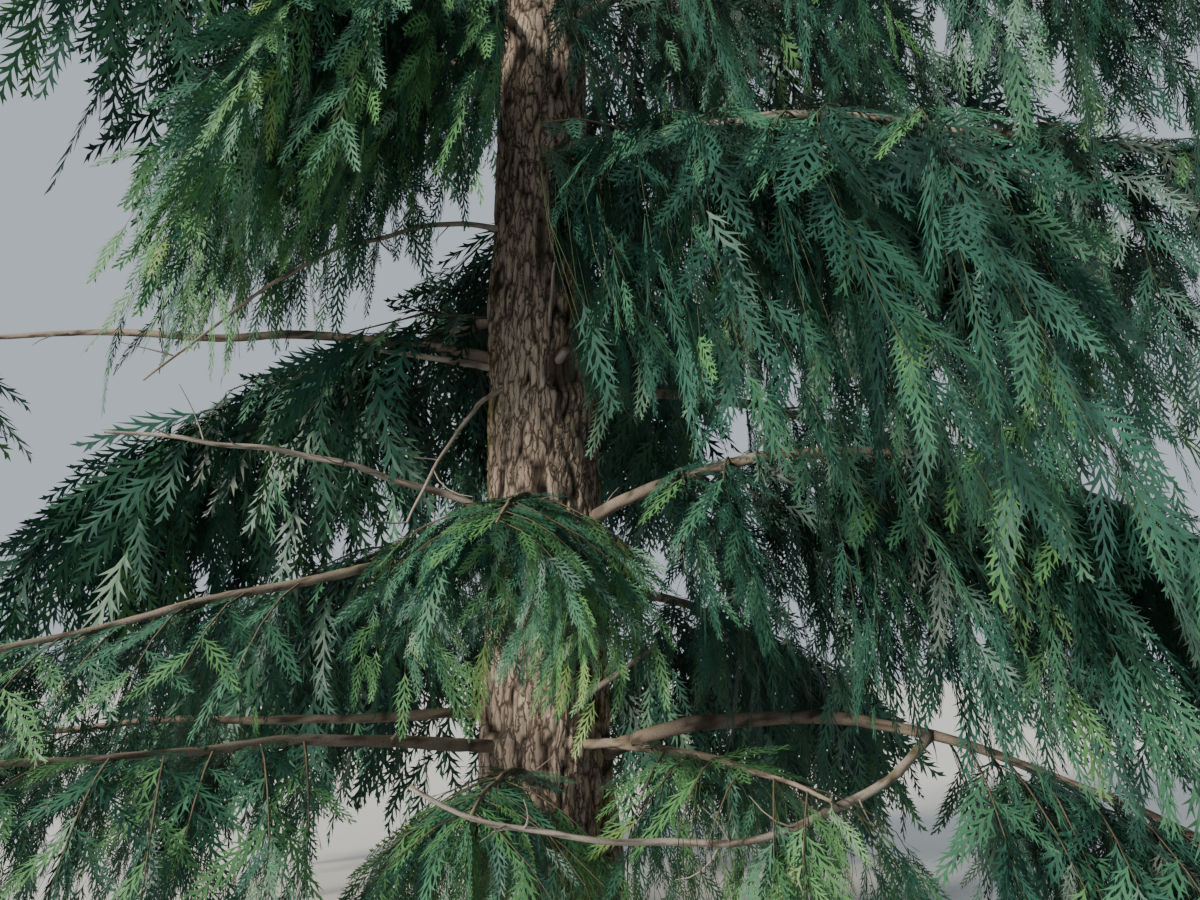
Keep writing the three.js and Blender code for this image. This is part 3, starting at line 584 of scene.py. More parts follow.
def limbMesh(pathAt, radiusAt, length, seed, sides=None, collar=True):
    # path + (across cos + normal sin) radius, with radius (1 + rough grain + knots) and a collar
    # that fades as e^(-along / collarLength)
    sides = sides or limbForm["sides"]
    t = np.linspace(0, 1, max(4, round(length / limbForm["step"])))
    along = t * length
    path, tangent = pathAt(t), tangentOf(pathAt, t)
    across = unit(np.cross(tangent, up))
    normal = np.cross(across, tangent)
    angle = np.linspace(0, 2 * np.pi, sides, endpoint=False)
    turn = angle / (2 * np.pi)
    grain, knots = (
        latticeNoise(turn[None, :] * limbForm[kind + "Round"], along[:, None] / limbForm[kind + "Length"],
                     limbForm[kind + "Round"], seed + later)
        for kind, later in (("rough", 0), ("knot", 50))
    )
    uneven = limbForm["rough"] * 2 * (grain - 0.5) + limbForm["knot"] * (knots - 0.5)
    radius = radiusAt(t)[:, None] * (1 + uneven)
    if collar:
        radius = radius * (1 + limbForm["collar"] * np.exp(-along / limbForm["collarLength"]))[:, None]
    ring = across[:, None] * np.cos(angle)[None, :, None] + normal[:, None] * np.sin(angle)[None, :, None]
    points = (path[:, None] + ring * radius[..., None]).reshape(-1, 3)
    count = len(points)
    j = np.arange(sides)
    caps = [np.stack([j, (j + 1) % sides, 0 * j + count], 1),
            np.stack([count - sides + (j + 1) % sides, count - sides + j, 0 * j + count + 1], 1)]
    faces = gridFaces(len(t), sides)[:, ::-1]
    # the furrow value is highest where the grain sinks the skin: the dark colour there is partly the bark's
    # own and partly painted shade
    furrowShade = smooth(*limbForm["furrowGrain"], grain) * limbForm["furrowShade"]
    tone = limbForm["leastTone"] + limbForm["knotTone"] * knots
    moss = smooth(*limbForm["mossFacing"], ring[..., 2]) * np.exp(-along / limbForm["mossLength"])[:, None]
    values = np.stack([furrowShade, tone, moss], axis=-1).reshape(-1, 3)
    return (np.concatenate([points, path[:1], path[-1:]]), np.concatenate([faces, *caps]),
            np.concatenate([values, values[:2] * 0 + 0.5]))


def turned(vectors, axes, angles):
    # each vector turned round its unit axis
    c, s = np.cos(angles)[:, None], np.sin(angles)[:, None]
    along = axes * (axes * vectors).sum(-1, keepdims=True)
    return vectors * c + np.cross(axes, vectors) * s + along * (1 - c)


def curveAt(curve, t):
    # quadratic curves root, bend, tip, each read at its own t
    root, bend, tip = curve
    t = np.asarray(t)[..., None]
    return root * (1 - t) ** 2 + bend * 2 * t * (1 - t) + tip * t * t


def curveTangent(curve, t):
    # the way those curves run: (bend - root)(1 - t) + (tip - bend) t
    root, bend, tip = curve
    t = np.asarray(t)[..., None]
    return unit((bend - root) * (1 - t) + (tip - bend) * t)


def twigTubes(curve, thick, tipThick, sides, steps):
    # a thin tapering tube along every curve at once; hardly any twig runs the way of aslant
    t = np.linspace(0, 1, steps + 1)
    spots = curveAt([c[:, None] for c in curve], t[None])
    tangent = curveTangent([c[:, None] for c in curve], t[None])
    aslant = np.array([0.31, 0.22, 0.92])
    across = unit(np.cross(tangent, aslant))
    normal = np.cross(across, tangent)
    angle = np.linspace(0, 2 * np.pi, sides, endpoint=False)
    radius = (thick[:, None] * (1 - t) + tipThick[:, None] * t)[..., None, None]
    ring = across[:, :, None] * np.cos(angle)[:, None] + normal[:, :, None] * np.sin(angle)[:, None]
    points = (spots[:, :, None] + ring * radius).reshape(-1, 3)
    one = gridFaces(steps + 1, sides)[:, ::-1]
    faces = (one[None] + (np.arange(len(thick)) * sides * (steps + 1))[:, None, None]).reshape(-1, 3)
    return points, faces


def taper(radius, tipRadius):
    # a radius that falls evenly from root to tip
    return lambda t: radius + (tipRadius - radius) * np.clip(t, 0, 1)


def barkValues(values):
    # the point values that the bark's material reads
    return {"furrowShade": values[:, 0], "tone": values[:, 1], "moss": values[:, 2]}


points, faces, values = trunkMesh()
stubParts = []
for i, row in enumerate(stubRows):
    stub = dict(zip(stubColumns, row))
    stub["reach"] = stub["length"] + float(trunkRadius(stub["height"])) * (1 - rootDepth)
    stub["sag"] = stub["sway"] = 0
    thickness = taper(stub["radius"], stub["tipRadius"])
    stubParts.append(limbMesh(limbPath(stub, growth["straight"], 90 + i), thickness, stub["reach"], 90 + i,
                              sides=10, collar=False))
trunkPiece = makePiece("trunk_bark", points, faces, [trunkBark], attributes=barkValues(values), rounded=True)
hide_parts("trunk")
points, faces, values = joined(stubParts)
stubPiece = makePiece("trunk_stubs", points, faces, [deadWood], attributes=barkValues(values), rounded=True)
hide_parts("trunk")
print("trunk", len(trunkPiece.data.polygons), "stubs", len(stubPiece.data.polygons))

parts = []
bareBoughs = {name: limb for name, limb in boughs.items() if limb["bare"]}
for i, (name, limb) in enumerate(bareBoughs.items()):
    length = math.hypot(limb["reach"], limb["rise"])
    parts.append(limbMesh(boughPaths[name], taper(limb["radius"], limb["radius"] * tipShare), length, 20 + i))
points, faces, values = joined(parts)
boughPiece = makePiece("live_boughs", points, faces, [boughBark], attributes=barkValues(values), rounded=True)
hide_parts(*[name + "_bough" for name in bareBoughs])

parts = []
deadPaths = {name: limbPath(limb, growth["deadWander"], 60 + i)
             for i, (name, limb) in enumerate(deadLimbs.items())}
deadRadii = {name: taper(limb["radius"], limb["tipRadius"]) for name, limb in deadLimbs.items()}
carrierAt = boughPaths[archingBranch["carrier"]]
deadPaths["dead_front_arching"] = bowedLine(carrierAt(archingBranch["from"]), np.array(archingBranch["tip"]),
                                            archingBranch["sag"], archingBranch["sway"],
                                            growth["deadWander"], 66)
deadRadii["dead_front_arching"] = taper(archingBranch["radius"], archingBranch["tipRadius"])
for i, (name, pathAt) in enumerate(deadPaths.items()):
    length = float(np.linalg.norm(pathAt(1.0) - pathAt(0.0)))
    parts.append(limbMesh(pathAt, deadRadii[name], length, 40 + i))

# Thin dead twigs on the bare wood: how many to a metre, their length and thickness.
twiglet = {
    "each": 3.2, "onBoughs": 1.0, "length": (0.1, 0.32), "angle": (38, 75), "radius": 0.005,
    "tipRadius": 0.0018, "bend": 0.16, "from": 0.12, "sides": 4, "steps": 4,
    "furrowShadeToneMoss": (0.15, 0.45, 0.0),
}


def twiglets(pathAt, length, each, seed):
    # root at random shares of the limb, tip = root + (ahead cos + aside sin) size, bent midway
    source = np.random.default_rng(seed)
    count = max(1, round(length * each))
    t = source.uniform(twiglet["from"], 1.0, count)
    root, tangent = pathAt(t), tangentOf(pathAt, t)
    flat = unit(np.cross(tangent, up))
    turn = source.uniform(0, 2 * np.pi, count)[:, None]
    aside = flat * np.cos(turn) + np.cross(flat, tangent) * np.sin(turn)
    angle = np.radians(source.uniform(*twiglet["angle"], count))[:, None]
    size = source.uniform(*twiglet["length"], count)[:, None]
    tip = root + (tangent * np.cos(angle) + aside * np.sin(angle)) * size
    bend = (root + tip) / 2 + source.normal(0, 1, (count, 3)) * size * twiglet["bend"]
    thick, thin = (np.full(count, twiglet[key]) for key in ("radius", "tipRadius"))
    points, faces = twigTubes((root, bend, tip), thick, thin, twiglet["sides"], twiglet["steps"])
    return points, faces, np.full((len(points), 3), twiglet["furrowShadeToneMoss"])


for i, (name, pathAt) in enumerate(deadPaths.items()):
    length = float(np.linalg.norm(pathAt(1.0) - pathAt(0.0)))
    parts.append(twiglets(pathAt, length, twiglet["each"], 300 + i))
for i, (name, limb) in enumerate(bareBoughs.items()):
    bare = part(boughPaths[name], 0, limb["bare"])
    parts.append(twiglets(bare, limb["reach"] * limb["bare"], twiglet["onBoughs"], 330 + i))
points, faces, values = joined(parts)
deadPiece = makePiece("dead_limbs", points, faces, [deadWood], attributes=barkValues(values), rounded=True)
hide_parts(*deadPaths)
print("boughs", len(boughPiece.data.polygons), "dead limbs", len(deadPiece.data.polygons))


# Foliage masses, each with its stem, fan and hang, as in the solids

def crownMass(count):
    # the spiral: height climbs by (count / last)^crowding, each mass stands 137.5 degrees on, and
    # its reach falls as (1 - height / topHeight)^reachPower, more on the fuller side
    roll = dice(crown["firstSeed"] + count)
    climb = (count / (crown["masses"] - 1)) ** crown["crowding"]
    height = crown["firstHeight"] + (crown["lastHeight"] - crown["firstHeight"]) * climb
    height += (next(roll) - 0.5) * crown["heightJitter"]
    azimuth = crown["firstTurn"] + crown["turn"] * count + (next(roll) - 0.5) * crown["azimuthJitter"]
    side = 1 + crown["lopsided"] * math.cos(math.radians(azimuth - crown["fullerSide"]))
    full = crown["baseReach"] * side * (1 - height / crown["topHeight"]) ** crown["reachPower"]
    reach = full * (1 + (next(roll) - 0.5) * crown["reachJitter"])
    limb = {"height": height, "azimuth": azimuth, "reach": reach, "rise": crown["rise"] * reach,
            "sag": crown["sag"] * reach, "sway": (next(roll) - 0.5) * crown["sway"] * reach}
    radius = reach * crown["stemRadius"]
    return {
        "name": f"crown_{count + 1:02d}_foliage", "stemAt": limbPath(limb, growth["straight"], 100 + count),
        "radiusAt": taper(radius, radius * tipShare), "fan": crown["fan"] * reach,
        "hang": crown["hang"] * reach + crown["leastHang"], "length": reach, "onTrunk": True,
        "rootSpread": crown["rootSpread"], "leafyFrom": 0,
    }


# These boughs carry twigs on their bare wood too, from this share of the bough on: in the photo
# they hide their roots and the right half of the trunk.
leafyRoots = {"right_top": 0.03, "right_front": 0.05}

masses = []
for name, limb in boughs.items():
    start = limb["bare"] + seatGap / limb["reach"] if limb["bare"] else 0
    leafy = (leafyRoots[name] - start) / (1 - start) if name in leafyRoots else 0
    masses.append({
        "name": name + "_foliage", "stemAt": part(boughPaths[name], start, 1),
        "radiusAt": part(taper(limb["radius"], limb["radius"] * tipShare), start, 1),
        "fan": limb["fan"], "hang": limb["hang"], "length": limb["reach"] * (1 - start),
        "onTrunk": not limb["bare"], "rootSpread": limb["bare"], "leafyFrom": leafy,
    })
masses += [crownMass(count) for count in range(crown["masses"])]
leaderFoot, leaderTip = trunkAxis(trunk["height"] + seatGap), trunkAxis(crown["leaderHeight"])
masses.append({
    "name": "leader_foliage",
    "stemAt": lambda t: leaderFoot + (leaderTip - leaderFoot) * np.asarray(t, float)[..., None],
    "radiusAt": taper(trunk["tipRadius"], trunk["tipRadius"] * (1 - crown["leaderTaper"])),
    "fan": crown["leaderFan"], "hang": crown["leaderHang"], "length": 0.7, "onTrunk": True,
    "rootSpread": 0, "leafyFrom": 0,
})

# A mass keeps to the places nearer to its own spine than to another's.
spineDrop = 0.4
spineShares = np.linspace(0, 1, 4)
spines = np.stack([mass["stemAt"](spineShares) - up * mass["hang"] * spineDrop for mass in masses])
spineFrom, spineTo = spines[:, :-1].reshape(-1, 3), spines[:, 1:].reshape(-1, 3)
spineOwner = np.repeat(np.arange(len(masses)), 3)


def ownPlace(number, points):
    # true where the nearest stretch of any spine is one of this mass's own
    run = spineTo - spineFrom
    away = points[:, None] - spineFrom[None]
    t = np.clip((away * run).sum(-1) / (run * run).sum(-1), 0, 1)
    gap = np.linalg.norm(away - run * t[..., None], axis=-1)
    return spineOwner[gap.argmin(1)] == number


def clearOfTrunk(points, room):
    # further from the trunk's axis than its radius and some room
    z = np.clip(points[:, 2], 0, None)
    away = np.linalg.norm((points - trunkAxis(z))[:, :2], axis=-1)
    return (away > trunkRadius(z) + room) | (points[:, 2] > trunk["height"] + spray["tipRoom"])


archSpots = deadPaths["dead_front_arching"](np.linspace(0, 1, 40))
archRoom = {"near": 0.3, "behind": 0.02}


def behindArch(points):
    # near the arching branch, sprays stay nearer to the trunk than it, so that it hangs bare in
    # front of them
    away = np.linalg.norm(points[:, None] - archSpots[None], axis=-1)
    nearest = archSpots[away.argmin(1)]
    out = [np.linalg.norm((spots - trunkAxis(spots[:, 2]))[:, :2], axis=-1) for spots in (points, nearest)]
    return (away.min(1) > archRoom["near"]) | (out[0] < out[1] - archRoom["behind"])


# The trunk's front stays open between the front boughs, as the bark shows there: over its whole
# width low down, over its left half further up. Each row is left, right, from and to.
openFront = {
    "wholeWidth": (-0.36, 0.08, 2.7, 3.4), "leftPart": (-0.36, -0.04, 3.4, 3.95),
    "leftHalf": (-0.27, -0.08, 3.95, 5.7),
}


def clearOfFront(points):
    # outside every box left < x < right, y < 0, from < z < to
    x, y, z = points.T
    inside = [(x > left) & (x < right) & (y < 0) & (z > low) & (z < high)
              for left, right, low, high in openFront.values()]
    return ~np.any(inside, axis=0)


boxRoom = {"share": 0.012, "aboveGround": 0.12}


def insideBox(points):
    # inside the solids' box, with a small share of each side to spare, and clear of the ground
    low, high = np.array(cadLow), np.array(cadHigh)
    room = (high - low) * boxRoom["share"]
    inside = (points > low - room) & (points < high + room)
    return inside.all(1) & (points[:, 2] > boxRoom["aboveGround"])


# One frond in its own plane: x runs along its stalk from 0 to 1, y across it, z off its face.
# Branchlets leave in pairs and sweep forward, each a pointed blade that is widest on the stalk,
# with shorter blades of the same kind along it; the longest stand near the foot of the frond.

bladeForm = {
    "stalkFoot": 0.008, "stalk": 0.012, "first": 0.2, "apart": 0.4, "spread": 0.42, "narrowing": 0.86,
    "power": 0.7, "footLength": 0.16, "footReach": 0.3, "lengthJitter": (0.85, 1.12), "angle": (25, 33),
    "lift": 0.025, "fingerAngle": 30, "firstFinger": 0.26, "nextFinger": 0.24, "fingerLength": 0.5,
    "fingerFall": 0.09, "fingerWidth": 0.75,
}


def frondTemplate(detail, seed):
    # a branchlet at x is spread (1 - narrowing x)^power long, shorter where x + footLength is less
    # than footReach; finger k is fingerLength - fingerFall k of that
    source = np.random.default_rng(seed)
    points, faces = [], []
    pairs, fingers, wide = detail["pairs"], detail["fingers"], detail["bladeWidth"]

    def blade(foot, run, tip, lift):
        start = len(points)
        points.extend([(*(foot - run), 0), (*tip, lift), (*(foot + run), 0)])
        faces.append((start, start + 1, start + 2))

    thick = bladeForm["stalk"]
    points += [(0, -bladeForm["stalkFoot"], 0), (0.5, -thick, 0), (1, 0, 0), (0.5, thick, 0)]
    faces += [(0, 1, 3), (1, 2, 3)]
    stalk = np.array([1.0, 0.0])
    for i in range(pairs):
        for side in (-1, 1):
            x = (i + bladeForm["first"] + bladeForm["apart"] * (side > 0)) / pairs
            length = bladeForm["spread"] * (1 - bladeForm["narrowing"] * x) ** bladeForm["power"]
            length *= min(1, (x + bladeForm["footLength"]) / bladeForm["footReach"])
            length *= source.uniform(*bladeForm["lengthJitter"])
            angle = math.radians(source.uniform(*bladeForm["angle"])) * side
            run = np.array([math.cos(angle), math.sin(angle)])
            foot = np.array([x, 0.0])
            lift = source.uniform(-bladeForm["lift"], bladeForm["lift"])
            blade(foot, stalk * wide, foot + run * length, lift)
            for k in range(fingers):
                hand = -side if k % 2 else side
                bend = angle + hand * math.radians(bladeForm["fingerAngle"])
                start = foot + run * length * (bladeForm["firstFinger"] + bladeForm["nextFinger"] * k)
                reach = length * (bladeForm["fingerLength"] - bladeForm["fingerFall"] * k)
                tip = start + reach * np.array([math.cos(bend), math.sin(bend)])
                blade(start, run * wide * bladeForm["fingerWidth"], tip, 0)
    return np.array(points, float), np.array(faces)


# How finely each part of the crown is carried out. Counts are for each mass, sizes in metres.
details = {
    "curtain": {"twigs": 17, "hangers": 7, "stemHangers": 14, "fronds": 8, "covers": 5, "stemCovers": 26,
                "frond": 0.32, "pairs": 7, "fingers": 2, "bladeWidth": 0.046, "variants": 6, "tubes": 3,
                "hangShare": 1.0},
    "fan": {"twigs": 19, "hangers": 8, "stemHangers": 16, "fronds": 8, "covers": 7, "stemCovers": 30,
            "frond": 0.3, "pairs": 7, "fingers": 2, "bladeWidth": 0.044, "variants": 6, "tubes": 3,
            "hangShare": 0.8},
    "near": {"twigs": 17, "hangers": 6, "stemHangers": 12, "fronds": 8, "covers": 5, "stemCovers": 26,
             "frond": 0.3, "pairs": 7, "fingers": 2, "bladeWidth": 0.042, "variants": 6, "tubes": 3,
             "hangShare": 0.83},
    "middle": {"twigs": 17, "hangers": 6, "stemHangers": 12, "fronds": 6, "covers": 5, "stemCovers": 22,
               "frond": 0.5, "pairs": 6, "fingers": 1, "bladeWidth": 0.06, "variants": 4, "tubes": 2,
               "hangShare": 0.9},
    "far": {"twigs": 15, "hangers": 5, "stemHangers": 10, "fronds": 5, "covers": 4, "stemCovers": 16,
            "frond": 0.64, "pairs": 5, "fingers": 0, "bladeWidth": 0.08, "variants": 3, "tubes": 1,
            "hangShare": 0.83},
}
# Side twigs, and what all twigs share: angles in degrees, radii and rooms in metres, the rest
# shares. "green" is the moss value of side twigs and of hanging ones.
spray = {
    "twigAngle": 58, "rootAngle": 46, "angleJitter": 9, "firstTwig": 0.6, "rootFan": 1.02, "tipFan": 0.5,
    "twigDroop": 0.32, "droopJitter": 0.4, "fanJitter": 0.15, "tipDrop": 0.1, "twigRadius": 0.2,
    "leastRadius": 0.003, "green": (0.25, 1.0), "twigTone": 0.4, "twigTaper": 0.6,
    "tries": (1, 0.78, 0.6), "shortTries": (0.44, 0.3),
    "outward": 0.24, "outwardJitter": 0.6, "swing": 0.35, "turn": 50, "roundStem": 137.5,
    "trunkRoom": 0.09, "frondRoom": 0.02, "hangJitter": 0.32, "fullSize": 1.6, "sizePower": 0.38,
    "leastTwigs": 6, "uprightBelow": 0.1, "bendAt": 0.55, "bendLift": 0.1, "twigSides": 3,
    "tipRoom": 0.1, "edgeBend": 0.8, "tintJitter": 0.13,
}
# Hanging twigs: where the first one stands, how evenly they follow, how they leave their twig.
hangerForm = {
    "first": 0.75, "short": 0.1, "spread": 0.06, "lowest": 0.1, "leafyPace": 1.5, "firstOnStem": 0.8,
    "stemOuter": 0.35, "stemGrowthAndLight": 0.6, "bendOut": 0.8, "bendDown": 0.35, "bendAt": 0.4,
    "radius": 0.0026, "tipShare": 0.4,
}
# Fronds along a hanging twig: angles in degrees, sizes as shares of the frond's own size.
frondForm = {
    "countRange": (0.7, 1.15), "first": 0.45, "short": 0.6, "last": 0.93, "spread": 0.04,
    "ends": (0.02, 0.97), "angle": 28, "angleJitter": 10, "offPlane": 0.25, "roll": 28, "rootSize": 1.12,
    "taper": 0.42, "endSize": 0.25, "sizeJitter": 0.2, "fullTwig": 0.8, "twigSize": (0.62, 1.1),
    # tips lighter as young growth; inner fronds darker as painted shade inside the crown, outer ones lighter
    # as painted light
    "freshAndLitAlong": 0.42, "freshAndLitOuter": 0.3, "freshJitter": 0.04, "bend": 0.12, "bendRange": (0.4, 1.6),
}
# Fronds that cover a twig or a stem from above.
coverForm = {
    "first": 0.6, "long": 0.2, "spread": 0.5, "lowest": 0.02, "angle": 46, "angleJitter": 14,
    # lighter towards the twig's outer end: partly young growth, partly painted light, with painted shade
    # towards the crown's inside
    "droop": 0.35, "roll": 20, "sizeJitter": 0.25, "freshRoot": 0.3, "freshAndLitAlong": 0.45,
    "freshJitter": 0.05, "stemLift": 0.3, "stemEnds": (0.02, 0.98),
}


def triesOf(mass):
    # a twig that would leave its mass's own room is tried shorter; near the trunk shorter still
    return spray["tries"] + (spray["shortTries"] if mass["leafyFrom"] or mass["onTrunk"] else ())


def sideTwigs(number, mass, detail, source):
    # a small mass has fewer twigs: the count follows a power of length times fan; the first twigs
    # stand wider by rootAngle rootSpread (1 - share)^2 and cover the bough's end or the trunk
    share = min(1, mass["length"] * mass["fan"] / spray["fullSize"]) ** spray["sizePower"]
    count = max(spray["leastTwigs"], round(detail["twigs"] * share * (1 - mass["leafyFrom"])))
    share = mass["leafyFrom"] + (1 - mass["leafyFrom"]) * (np.arange(count) + spray["firstTwig"]) / count
    root, tangent = mass["stemAt"](share), tangentOf(mass["stemAt"], share)
    side = np.cross(tangent, up)
    upright = np.linalg.norm(side, axis=1) < spray["uprightBelow"]
    side[upright] = heading(spray["roundStem"] * np.arange(count))[upright]
    side = unit(side) * np.where(np.arange(count) % 2, 1, -1)[:, None]
    jitter = source.uniform(-1, 1, (3, count))
    wider = spray["rootAngle"] * mass["rootSpread"] * (1 - share) ** 2
    angle = np.radians(spray["twigAngle"] + wider + spray["angleJitter"] * jitter[0])[:, None]
    along = tangent * np.cos(angle) + side * np.sin(angle)
    along = unit(along - up * (spray["twigDroop"] * (1 + spray["droopJitter"] * jitter[1]))[:, None])
    full = mass["fan"] * (spray["rootFan"] + (spray["tipFan"] - spray["rootFan"]) * share)
    full = full * (1 + spray["fanJitter"] * jitter[2])
    length = np.zeros(count)
    for size in triesOf(mass):
        tip = root + along * (full * size)[:, None]
        fits = ownPlace(number, tip) & clearOfFront(tip) & (length == 0)
        length[fits] = (full * size)[fits]
    kept = length > 0
    root, along, length = root[kept], along[kept], length[kept]
    tip = root + along * length[:, None]
    tip = tip - up * (length * spray["tipDrop"])[:, None]
    bend = root + along * length[:, None] * spray["bendAt"] + up * length[:, None] * spray["bendLift"]
    thick = mass["radiusAt"](share)[kept] * spray["twigRadius"] + spray["leastRadius"]
    return (root, bend, tip), along, thick


def hangers(number, mass, detail, source, curve, along):
    # the hanging twigs: on each side twig out to its tip, and on the stem
    count, each = len(along), detail["hangers"]
    t = (np.arange(each) + hangerForm["first"])[None] / (each - hangerForm["short"])
    t = t + source.uniform(-hangerForm["spread"], hangerForm["spread"], (count, each))
    t = np.clip(t, hangerForm["lowest"], 1)
    at = curveAt([c[:, None] for c in curve], t).reshape(-1, 3)
    lead = np.repeat(along, each, axis=0)
    outer = t.reshape(-1)
    onStem = round(detail["stemHangers"] * (1 - hangerForm["leafyPace"] * mass["leafyFrom"]))
    share = (1 - mass["leafyFrom"]) * (np.arange(onStem) + hangerForm["firstOnStem"]) / onStem
    share = np.minimum(mass["leafyFrom"] + share, 1)
    at = np.concatenate([at, mass["stemAt"](share)])
    lead = np.concatenate([lead, tangentOf(mass["stemAt"], share)])
    outer = np.concatenate([outer, hangerForm["stemOuter"] + hangerForm["stemGrowthAndLight"] * share])
    total = len(at)
    jitter = source.uniform(-1, 1, (5, total))
    outward = unit((at - trunkAxis(mass["stemAt"](0.0)[2])) * np.array([1, 1, 0]))
    lean = spray["outward"] * (1 + spray["outwardJitter"] * jitter[0])
    down = unit(outward * lean[:, None] - up + lead * spray["swing"] * jitter[1][:, None])
    across = unit(lead - down * (lead * down).sum(1, keepdims=True))
    across = turned(across, down, np.radians(spray["turn"]) * jitter[2])
    full = mass["hang"] * detail["hangShare"] * (1 + spray["hangJitter"] * jitter[3])
    length = np.zeros(total)
    for size in triesOf(mass):
        tip = at + down * (full * size)[:, None]
        fits = ownPlace(number, tip) & insideBox(tip) & clearOfTrunk(tip, spray["trunkRoom"])
        fits &= clearOfFront(tip) & clearOfFront((at + tip) / 2) & (length == 0)
        length[fits] = (full * size)[fits]
    kept = length > 0
    at, lead, down, across, outer, length = (v[kept] for v in (at, lead, down, across, outer, length))
    towards = unit(lead * hangerForm["bendOut"] - up * hangerForm["bendDown"])
    bend = at + towards * (length * hangerForm["bendAt"])[:, None]
    return (at, bend, at + down * length[:, None]), across, outer, length


def placeFronds(template, at, along, across, size, bend):
    # every point is at + size (x along + y across + z normal), bent down by
    # bend (x^2 + edgeBend y^2)
    shape, one = template
    normal = np.cross(along, across)
    x, y, z = (shape[None, :, i, None] for i in range(3))
    spots = along[:, None] * x + across[:, None] * y + normal[:, None] * z
    spots = spots - up * (bend[:, None, None] * (x * x + spray["edgeBend"] * y * y))
    points = (at[:, None] + spots * size[:, None, None]).reshape(-1, 3)
    faces = (one[None] + (np.arange(len(at)) * len(shape))[:, None, None]).reshape(-1, 3)
    return points, faces


def fronds(mass, detail, source, curve, across, outer, length):
    # fronds stand left and right along each hanging twig, and one ends it
    fewest, most = frondForm["countRange"]
    count, each = len(length), round(detail["fronds"] * min(most, max(fewest, mass["hang"])))
    s = (np.arange(each - 1) + frondForm["first"]) / (each - frondForm["short"])
    s = np.append(s, frondForm["last"])[None] + 0 * length[:, None]
    s = s + source.uniform(-frondForm["spread"], frondForm["spread"], s.shape)
    s = np.clip(s, *frondForm["ends"])
    at = curveAt([c[:, None] for c in curve], s).reshape(-1, 3)
    tangent = curveTangent([c[:, None] for c in curve], s).reshape(-1, 3)
    wide = np.repeat(across, each, axis=0)
    wide = unit(wide - tangent * (wide * tangent).sum(1, keepdims=True))
    hand = np.tile(np.append(np.where(np.arange(each - 1) % 2, 1.0, -1.0), 0.0), count)
    jitter = source.uniform(-1, 1, (4, count * each))
    angle = np.radians(frondForm["angle"] * hand + frondForm["angleJitter"] * jitter[0])[:, None]
    off = np.cross(tangent, wide) * frondForm["offPlane"] * jitter[1][:, None]
    along = unit(tangent * np.cos(angle) + wide * np.sin(angle) + off)
    flat = unit(wide - along * (wide * along).sum(1, keepdims=True))
    flat = turned(flat, along, np.radians(frondForm["roll"]) * jitter[2])
    place = s.reshape(-1)
    share = frondForm["rootSize"] - frondForm["taper"] * place + frondForm["endSize"] * (hand == 0)
    size = detail["frond"] * share * (1 + frondForm["sizeJitter"] * jitter[3])
    size = size * np.repeat(np.clip(length / frondForm["fullTwig"], *frondForm["twigSize"]), each)
    own = source.normal(0, spray["tintJitter"], count)
    # lighter towards the twig's young tip; darker on the inner twigs as painted shade inside the crown,
    # lighter on the outer ones as painted light
    freshAndLit = frondForm["freshAndLitAlong"] * place + np.repeat(frondForm["freshAndLitOuter"] * outer + own, each)
    freshAndLit = freshAndLit + source.normal(0, frondForm["freshJitter"], place.shape)
    return at, along, flat, size, freshAndLit


def coverFronds(detail, source, curve, each, lift):
    # fronds that lie along both sides of a twig or stem and hide it from above
    count = len(curve[0])
    s = (np.arange(each) + coverForm["first"])[None] / (each + coverForm["long"])
    s = s + source.uniform(-coverForm["spread"], coverForm["spread"], (count, each)) / each
    s = np.clip(s, coverForm["lowest"], 1)
    at = curveAt([c[:, None] for c in curve], s).reshape(-1, 3)
    tangent = curveTangent([c[:, None] for c in curve], s).reshape(-1, 3)
    flat = unit(np.cross(up, tangent))
    hand = np.tile(np.where(np.arange(each) % 2, 1.0, -1.0), count)
    jitter = source.uniform(-1, 1, (3, count * each))
    angle = np.radians(coverForm["angle"] * hand + coverForm["angleJitter"] * jitter[0])[:, None]
    along = tangent * np.cos(angle) + flat * np.sin(angle)
    along = unit(along + up * (lift - coverForm["droop"] * (1 + jitter[1]))[:, None])
    wide = unit(flat * np.cos(angle) - tangent * np.sin(angle))
    wide = unit(wide - along * (wide * along).sum(1, keepdims=True))
    size = detail["frond"] * (1 + coverForm["sizeJitter"] * jitter[2])
    own = np.repeat(source.normal(0, spray["tintJitter"], count), each)
    # lighter towards the twig's outer end: partly young growth, partly painted light outside and painted
    # shade towards the crown's inside
    freshAndLit = coverForm["freshRoot"] + coverForm["freshAndLitAlong"] * s.reshape(-1) + own
    freshAndLit = freshAndLit + source.normal(0, coverForm["freshJitter"], count * each)
    return at, along, turned(wide, along, np.radians(coverForm["roll"]) * jitter[0]), size, freshAndLit


# Which tint a frond gets by its freshness and light, from painted shade inside the crown to the lighter young
# tips. Zones in shade get steps that deal out darker tints, and zones in sun or bright light lighter ones:
# painted shade and painted sunlight.
tintSteps = {"shade": (0.26, 0.56, 0.8, 1.02, 1.1), "sun": (0.08, 0.34, 0.58, 0.88, 0.96),
             "bright": (-0.05, 0.16, 0.4, 0.76, 0.9)}


